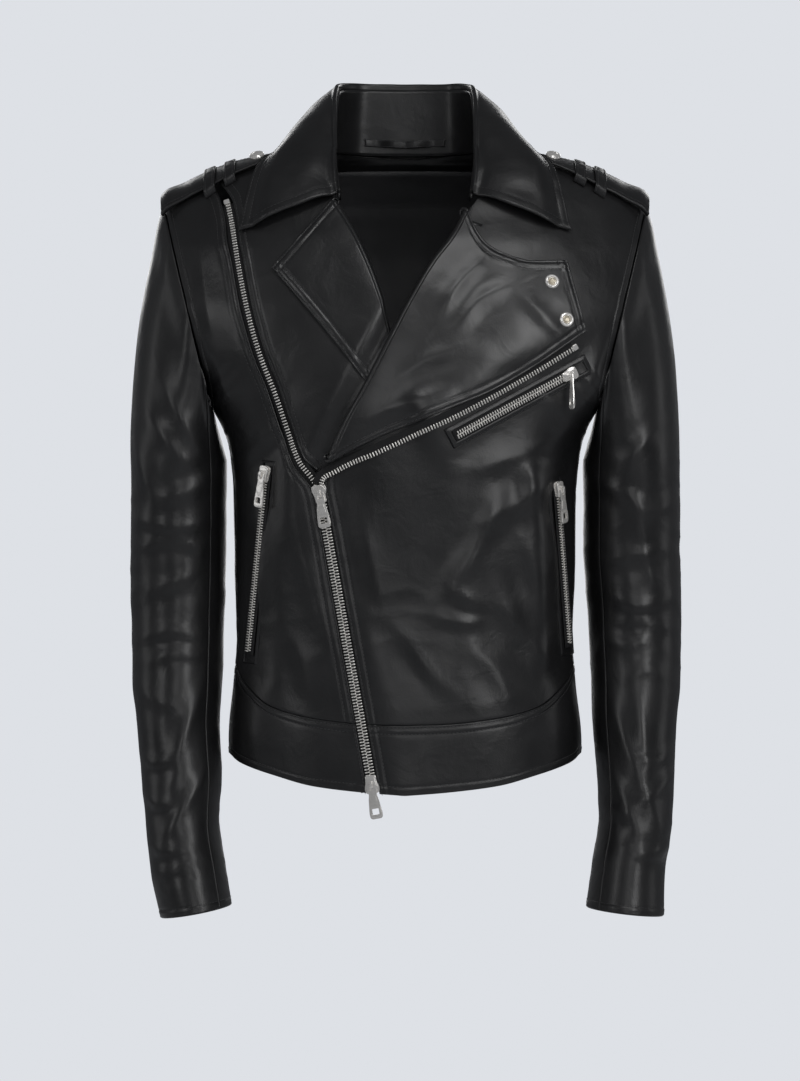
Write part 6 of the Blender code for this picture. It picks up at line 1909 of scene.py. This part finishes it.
def pull(name, pivot, across, down, out_, body, node, eye=None, L=PULL_LENGTH):
    if eye is None:
        outline = curved_outline([(-3.6, -1.1), (3.6, -1.1), (4.2, 1.0), (4.0, 6.0), (3.5, 9.0), (4.6, 14), (5.9, L - 5), (5.6, L - 1.4), (4.0, L), (-4.0, L), (-5.6, L - 1.4), (-5.9, L - 5), (-4.6, 14), (-3.5, 9.0), (-4.0, 6.0), (-4.2, 1.0)], 1.2)
        holes = [curved_outline([(-1.8, 0.7), (1.8, 0.7), (1.8, 5.0), (-1.8, 5.0)], 0.4, 3)]
    else:
        outline = eye["rim"] + [(3.4, 5.0), (3.2, 8.0), (4.4, 14), (5.4, L - 4), (4.6, L - 1), (3.0, L), (-3.0, L), (-4.6, L - 1), (-5.4, L - 4), (-4.4, 14), (-3.2, 8.0), (-3.4, 5.0)]
        holes = [eye["hole"]]
    slot_ = curved_outline([(-3.2, L - 9.2), (3.2, L - 9.2), (3.2, L - 3.9), (-3.2, L - 3.9)], 0.6, 3)
    holes.append(slot_)
    bodies = [(*extruded(outline, holes, -0.55, 0.55, (pivot, across, down, out_)), 0.18)]
    # raised frame round the window and a plain raised panel above it
    frame_o = curved_outline([(-4.9, L - 10.6), (4.9, L - 10.6), (5.3, L - 5), (5.0, L - 2.0), (3.6, L - 1.0), (-3.6, L - 1.0), (-5.0, L - 2.0), (-5.3, L - 5)], 0.9)
    t = 0.55 if eye is None else 0.3
    bodies.append((*extruded(frame_o, [[(x * 1.0, y) for x, y in slot_]], -0.55 - t, 0.55 + t, (pivot, across, down, out_)), 0.15))
    panel_o = curved_outline([(-2.5, 10.0), (2.5, 10.0), (3.4, L - 13.5), (-3.4, L - 13.5)], 0.7)
    bodies.append((*extruded(panel_o, [], -0.55 - t * 0.6, 0.55 + t * 0.6, (pivot, across, down, out_)), 0.2))
    return solid_parts(name, bodies, M_NICKEL, body, [node], 0.2)


o, across, d, n, _ = line_frame(ZIP_TOP, ZIP_END, 3.0, 0.0)
slider("main_slider_top_body_piece", (o, across, d, n), False, -4.0, 1.0, 1.0, "main_slider_top_body", "main_slider_top")
pull("main_pull_top_piece", o + n * 3.8, across, d, n, "main_pull_top_body", "main_pull_top")
o, across, d, n, _ = line_frame(ZIP_TOP, ZIP_END, 268.0, 0.0)
slider("main_slider_bottom_body_piece", (o, across, d, n), True, -4.0, 1.0, 1.0, "main_slider_bottom_body", "main_slider_bottom")
pull("main_pull_bottom_piece", o + n * 3.8, across, d, n, "main_pull_bottom_body", "main_pull_bottom")


def small_zip(key, name, p, q, first, last, at, flip, half, lift, slider_body, node_zip, node_slider):
    o, across, d, n, length = line_frame(p, q, 0.0, 0.0)
    ss = np.arange(first, last, 0.8)
    line = o + d * ss[:, None] + n * (lift + 2.1)
    nor = np.broadcast_to(n, line.shape)
    X = np.cross(d, n)
    tooth_row(key + "_a", (line + X * half, nor), half + 0.4, -1, pitch=2.5, width=1.3, high=1.7)
    tooth_row(key + "_b", (line - X * half, nor), half + 0.4, 1, pitch=2.5, width=1.3, high=1.7, phase=1.25)
    w = np.linspace(-half - 2.2, half + 2.2, 9)
    R = (o + d * np.linspace(first - 3, last + 3, 50)[:, None])[:, None] + X * w[None, :, None] + n * (lift + 1.2 - 0.12 * np.abs(w)[None, :, None])
    verts, quads = closed_grid(R, R - n * 0.6)
    put(make_mesh(name + "_tape", verts, [quads], M_TAPE), JACKET, [node_zip], "zip_tape")
    so = o + d * at
    slider(name + "_slider_piece", (so, across, d, n), flip, lift + 1.4, lift + 3.5, 0.86, slider_body, node_slider)
    return so, across, d, n


so, ac, d, n = small_zip("pr", "side_pocket_right", POCKET_R_A, POCKET_R_B, 4.0, 165.0, 0.5, False, SMALL_CHAIN_HALF, 1.0, "pocket_right_slider_body", "side_pocket_right_zip", "side_pocket_right_slider")
pull("side_pocket_right_pull_piece", so + n * 7.3, ac, d, n, "pocket_right_pull_body", "side_pocket_right_pull")
PR = (so, ac, d, n)
so, ac, d, n = small_zip("pl", "side_pocket_left", POCKET_L_A, POCKET_L_B, 4.0, 144.0, 0.5, False, SMALL_CHAIN_HALF, 1.0, "pocket_left_slider_body", "side_pocket_left_zip", "side_pocket_left_slider")
pull("side_pocket_left_pull_piece", so + n * 7.3, ac, d, n, "pocket_left_pull_body", "side_pocket_left_pull")
PL = (so, ac, d, n)
so, ac, d, n = small_zip("ch", "chest_pocket", CHEST_A, CHEST_B, -1.0, 115.0, 119.0, True, SMALL_CHAIN_HALF, 0.8, "chest_slider_body", "chest_pocket_zip", "chest_pocket_slider")
down = np.array([0.0, 0.0, -1.0])
wide = n - down * (n @ down)
wide /= np.linalg.norm(wide)
side_way = np.cross(wide, down)
pv = so + n * (0.8 + 3.5 + 1.3 + 3.25)
eye = {"rim": [(2.3 * math.cos(k * math.pi / 8), 2.3 * math.sin(k * math.pi / 8)) for k in range(8, 17)], "hole": [(1.6 * math.cos(k * math.pi / 5 + 0.3), 1.6 * math.sin(k * math.pi / 5 + 0.3)) for k in range(10)]}
pull("chest_pocket_pull_piece", pv, wide, down, side_way, "chest_pull_body", "chest_pocket_pull", eye)


def welt(name, A_, B_, lo, hi, w_in, w_out, off, nodes, group, reach=1.0, sewn=True):
    """Leather frame round a pocket zip: rolled on both sides, mitred at the corners."""
    dch, lch, _ = flat_frame(A_, B_)
    cch = np.array([-dch[1], dch[0]])
    a = np.array(A_)
    ring, m = [], 120

    def rect(hw, l0, l1):
        c = [a + dch * l0 - cch * hw, a + dch * l1 - cch * hw, a + dch * l1 + cch * hw, a + dch * l0 + cch * hw]
        return c

    prof = [(0.0, -0.9), (0.0, -0.1), (0.25, 0.7), (0.9, 1.15), (1.7, 1.25), (2.3, 0.95), (w_out - w_in - 0.9, 0.9), (w_out - w_in - 0.3, 0.6), (w_out - w_in, 0.0), (w_out - w_in, -0.9)]
    if not sewn:
        prof = [(0.0, -0.9), (0.0, -0.1), (0.2, 0.4), (0.6, 0.62), (1.0, 0.5), (1.5, 0.1), (2.0, -0.35), (2.2, -0.9)]
    rows = []
    for dist, hgt in prof:
        hw, l0, l1 = w_in + dist, lo - dist * reach, hi + dist * reach
        c = rect(hw, l0, l1)
        loop = []
        for i in range(4):
            k = 44 if i % 2 == 0 else 8
            for t in np.linspace(0, 1, k, endpoint=False):
                loop.append(c[i] * (1 - t) + c[(i + 1) % 4] * t)
        loop = np.array(loop)
        rows.append(front(loop[:, 0], loop[:, 1], np.full(len(loop), off + hgt)))
    R = np.array(rows)
    m_, n_ = R.shape[:2]
    idx = np.arange(m_ * n_).reshape(m_, n_)
    nx = np.roll(idx, -1, 1)
    quads = np.stack([idx[:-1], nx[:-1], nx[1:], idx[1:]], -1).reshape(-1, 4)
    last = np.stack([idx[-1], nx[-1], nx[0], idx[0]], -1)
    q = np.concatenate([quads, last])
    V = R.reshape(-1, 3)
    T = V[q]
    vol = np.einsum("ij,ij->", T[:, 0], np.cross(T[:, 1], T[:, 2])) + np.einsum("ij,ij->", T[:, 0], np.cross(T[:, 2], T[:, 3]))
    if vol < 0:
        q = q[:, ::-1]
    put(make_mesh(name, V, [q], M_LEATHER), JACKET, nodes)
    st = R[6]
    nn_ = normal(phi_front(st[:, 0], st[:, 2]), st[:, 2])
    for i0, i1 in ((1, 43), (53, 95)) if sewn else ():
        stitch_line(group, (st[i0:i1], nn_[i0:i1]))


welt("chest_pocket_frame", CHEST_A, CHEST_B, -4.0, 131.0, 4.7, 9.4, 0.9, ["chest_pocket_welt"], JACKET)
welt("side_pocket_frame_right", POCKET_R_A, POCKET_R_B, -9.0, 172.0, 4.6, 7.6, 0.25, (), JACKET, sewn=False)
welt("side_pocket_frame_left", POCKET_L_A, POCKET_L_B, -9.0, 150.0, 4.6, 7.6, 0.25, (), JACKET, sewn=False)


def pocket_bag(name, sides, nodes):
    s_ = Sheet(name, sides, front, M_LINING, off=-4.1, thick=1.2, kinds=("turn", "turn", "turn", "turn"), disp=lambda P, N: 0.3 * vnoise(P / 20.0, 81), h=6.0)
    put(s_.obj, JACKET, nodes, "lining")


pocket_bag("pocket_bag_right", ([(-102.0, -398.0), (-150, -440)], [(-104.0, -300.0), (-134, -296)], [(-102.0, -398.0), (-104, -300)], [(-150.0, -440.0), (-134, -296)]), ["side_pocket_right_bag"])
pocket_bag("pocket_bag_left", ([(84.0, -440.0), (146, -440)], [(96.0, -310.0), (140, -306)], [(84.0, -440.0), (96, -310)], [(146.0, -440.0), (140, -306)]), ["side_pocket_left_bag"])
pocket_bag("pocket_bag_chest", ([(52.0, -300.0), (104, -297)], [(52.0, -258.0), (106, -232)], [(52.0, -300.0), (52, -258)], [(104.0, -297.0), (106, -232)]), ["chest_pocket_bag"])

# stops at the free ends of the two open stringers
stops = []
for path, off, along_side in ((string, 0.2, 0.8), (string_l, ll_off + 0.9, 0.8)):
    P_, n_ = xz_line(path, off, 1.0)
    T_ = P_[-1] - P_[-4]
    T_ /= np.linalg.norm(T_)
    X_ = np.cross(T_, n_[-1])
    box_ = curved_outline([(-2.6, -1.0), (2.6, -1.0), (2.6, 3.6), (-2.6, 3.6)], 0.7, 3)
    v_, f_ = extruded(box_, [], -1.3, 1.3, (P_[-1], X_, T_, n_[-1]))
    stops.append((v_, f_, 0.35))
solid_parts("stringer_stop_chest", stops[:1], M_NICKEL, JACKET, ())
solid_parts("stringer_stop_lapel", stops[1:], M_NICKEL, "lapel_left_body", ())

# hanger loop, a twisted-free flat strip sewn at both ends
LX = np.linspace(-38, 38, 50)
hh = 1.0 + 7.5 * np.exp(-((LX / 20.0) ** 4))
rows = []
for z in np.linspace(21.5, 28.5, 9):
    S = stand_point(LX / 176.0, np.full(LX.shape, (z - 15) / 57.0))
    nn_ = np.stack([-LX / 120.0, -np.ones(len(LX)), np.zeros(len(LX))], -1)
    nn_ /= np.linalg.norm(nn_, axis=1, keepdims=True)
    bulge = 0.35 * math.cos((z - 25) / 3.6)
    rows.append(S - np.array([0, 1.8, 0]) + nn_ * (hh + bulge + 0.4)[:, None] + np.array([0, 0, 1.0]) * (-1.5 * np.exp(-((LX / 22.0) ** 2)))[:, None])
R = np.array(rows)
gn = grid_normals(R)
if gn[4, 25, 1] > 0:
    gn = -gn
verts, quads = closed_grid(R, R - gn * 1.3)
put(make_mesh("hanger_loop_strip", verts, [quads], M_LEATHER), JACKET, ["hanger_loop"])
for z in (0, 8):
    stitch_line(JACKET, (R[1 if z == 0 else 7], gn[4]), 2.6)

# ================================================================ gather the small repeated pieces
TEETH_BODY = {"main_a": (JACKET, ["main_teeth_right"]), "main_b": (JACKET, ["main_teeth_left"]), "chest": (JACKET, ()), "lapel": ("BLEND_L", ())}
for key, parts in teeth.items():
    body, nodes = TEETH_BODY.get(key, (JACKET, ()))
    put(gather(f"teeth_{key}", parts, M_TEETH), body, nodes, "nickel")
for key, parts in stitches.items():
    nm = {JACKET: "stitching_body", LL: "stitching_lapel_left", LR: "stitching_lapel_right"}[key]
    put(gather(nm, parts, M_THREAD), key, (), "leather")

# ================================================================ how pieces move
ROLL_A = {LL: ((-0.0038, -0.1037, -0.1521), (0.47726, 0.164412, 0.863245)), LR: ((-0.033048, -0.09515, -0.102936), (-0.338076, 0.328783, 0.88182))}


def blend_line(which):
    """Across the roll line, from the roll out over the flap."""
    pos, axis = (np.array(q) for q in ROLL_A[which])
    axis = axis / np.linalg.norm(axis)
    out_dir = np.array([1.0 if which == LL else -1.0, 0.25, 0.0])
    out_dir = out_dir - axis * (out_dir @ axis)
    out_dir /= np.linalg.norm(out_dir)
    return pos + out_dir * 0.001, pos + out_dir * 0.030


for obj, body, nodes, slot_name in done:
    if body == "BLEND_L":
        body = LL
    if body == "BLEND_R":
        body = LR
    if isinstance(body, tuple):
        a, b = blend_line(body)
        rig.blend(obj, body[0], body[1], start=tuple(float(q) for q in a), end=tuple(float(q) for q in b))
    else:
        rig.ride(obj, body)
    if nodes:
        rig.replaces(obj, *nodes)
    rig.slot(obj, slot_name)

# ================================================================ stage
cam_data = bpy.data.cameras.new("camera")
cam_data.lens = 36.0 * 4500.0 / 994.5
cam_data.sensor_width = 36.0
cam_data.sensor_fit = "AUTO"
cam = bpy.data.objects.new("camera", cam_data)
cam.location = (-0.0046, -4.5, -0.345)
cam.rotation_euler = (math.radians(90), 0, 0)
bpy.context.scene.collection.objects.link(cam)
bpy.context.scene.camera = cam

floor_mesh = bpy.data.meshes.new("floor")
floor_mesh.from_pydata([(-150, -150, -1.25), (150, -150, -1.25), (150, 150, -1.25), (-150, 150, -1.25)], [], [(0, 1, 2, 3)])
floor = bpy.data.objects.new("floor", floor_mesh)
bpy.context.scene.collection.objects.link(floor)
fm, fnt, fb = base_material("pale_floor", (0.62, 0.63, 0.65), 0.9)
# the floor runs out into the backdrop: round the jacket it takes soft shading, further off it has the backdrop's colour
ftc = fnt.nodes.new("ShaderNodeTexCoord")
flen = fnt.nodes.new("ShaderNodeVectorMath")
flen.operation = "LENGTH"
fnt.links.new(ftc.outputs["Object"], flen.inputs[0])
fmr = fnt.nodes.new("ShaderNodeMapRange")
fmr.interpolation_type = "SMOOTHSTEP"
fmr.inputs["From Min"].default_value = 1.35
fmr.inputs["From Max"].default_value = 3.3
fnt.links.new(flen.outputs["Value"], fmr.inputs["Value"])
flp = fnt.nodes.new("ShaderNodeLightPath")
fmul = fnt.nodes.new("ShaderNodeMath")
fmul.operation = "MULTIPLY"
fnt.links.new(fmr.outputs["Result"], fmul.inputs[0])
fnt.links.new(flp.outputs["Is Camera Ray"], fmul.inputs[1])
fem = fnt.nodes.new("ShaderNodeEmission")
fem.inputs[0].default_value = (0.730, 0.752, 0.791, 1)
fadd = fnt.nodes.new("ShaderNodeMath")
fadd.operation = "MULTIPLY"
fadd.inputs[1].default_value = 0.52
fnt.links.new(flp.outputs["Is Camera Ray"], fadd.inputs[0])
fb.inputs["Emission Color"].default_value = (0.730, 0.752, 0.791, 1)
fnt.links.new(fadd.outputs[0], fb.inputs["Emission Strength"])
fmix = fnt.nodes.new("ShaderNodeMixShader")
fnt.links.new(fmul.outputs[0], fmix.inputs[0])
fnt.links.new(fb.outputs[0], fmix.inputs[1])
fnt.links.new(fem.outputs[0], fmix.inputs[2])
fnt.links.new(fmix.outputs[0], fnt.nodes["Material Output"].inputs[0])
floor_mesh.materials.append(fm)
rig.stage(floor)

world = bpy.data.worlds.new("studio")
bpy.context.scene.world = world
world.use_nodes = True
wn = world.node_tree
wn.nodes.clear()
outw = wn.nodes.new("ShaderNodeOutputWorld")
mixw = wn.nodes.new("ShaderNodeMixShader")
lp = wn.nodes.new("ShaderNodeLightPath")
bg1 = wn.nodes.new("ShaderNodeBackground")
bg1.inputs[0].default_value = (0.40, 0.41, 0.43, 1)
bg1.inputs[1].default_value = 0.27
bg2 = wn.nodes.new("ShaderNodeBackground")
bg2.inputs[0].default_value = (0.730, 0.752, 0.791, 1)
bg2.inputs[1].default_value = 1.0
wn.links.new(lp.outputs["Is Camera Ray"], mixw.inputs[0])
wn.links.new(bg1.outputs[0], mixw.inputs[1])
wn.links.new(bg2.outputs[0], mixw.inputs[2])
wn.links.new(mixw.outputs[0], outw.inputs[0])


def area(name, loc, aim, size, power, size_y=None):
    data = bpy.data.lights.new(name, "AREA")
    data.shape = "RECTANGLE"
    data.size = size
    data.size_y = size_y or size
    data.energy = power
    ob = bpy.data.objects.new(name, data)
    ob.location = loc
    ob.rotation_euler = (Vector(aim) - Vector(loc)).to_track_quat("-Z", "Y").to_euler()
    bpy.context.scene.collection.objects.link(ob)
    return ob


AIM = (0, 0, -0.3)
area("key_right", (1.95, -2.85, 0.7), AIM, 0.95, 21, 1.7)
area("key_left", (-2.5, -2.2, 0.6), AIM, 0.8, 8, 1.6)
area("front_top", (0.6, -2.7, 2.4), AIM, 1.8, 22, 0.9)
area("front_fill", (0.2, -5.4, 0.5), AIM, 1.5, 13, 1.5)
area("back_left", (-1.3, 2.9, 0.9), AIM, 0.9, 14, 1.5)
area("back_right", (1.3, 2.9, 0.9), AIM, 0.9, 14, 1.5)
area("back_fill", (0.0, 4.6, 0.1), AIM, 2.2, 22, 1.4)
area("side_left", (-4.2, 0.5, 0.2), AIM, 1.4, 5, 1.6)
area("side_right", (4.2, 0.5, 0.2), AIM, 1.4, 5, 1.6)
bpy.context.scene.view_settings.view_transform = "Standard"
bpy.context.scene.view_settings.look = "None"

VISUAL_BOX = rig.bounds()
with open("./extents.json", "w") as fh:
    json.dump({"cad": [list(map(float, q)) for q in CAD_BOX], "visual": [list(map(float, q)) for q in VISUAL_BOX]}, fh)
print("CAD", CAD_BOX, "VISUAL", VISUAL_BOX)
print("pieces", len(done), "vertices", sum(len(o.data.vertices) for o, *_ in done))
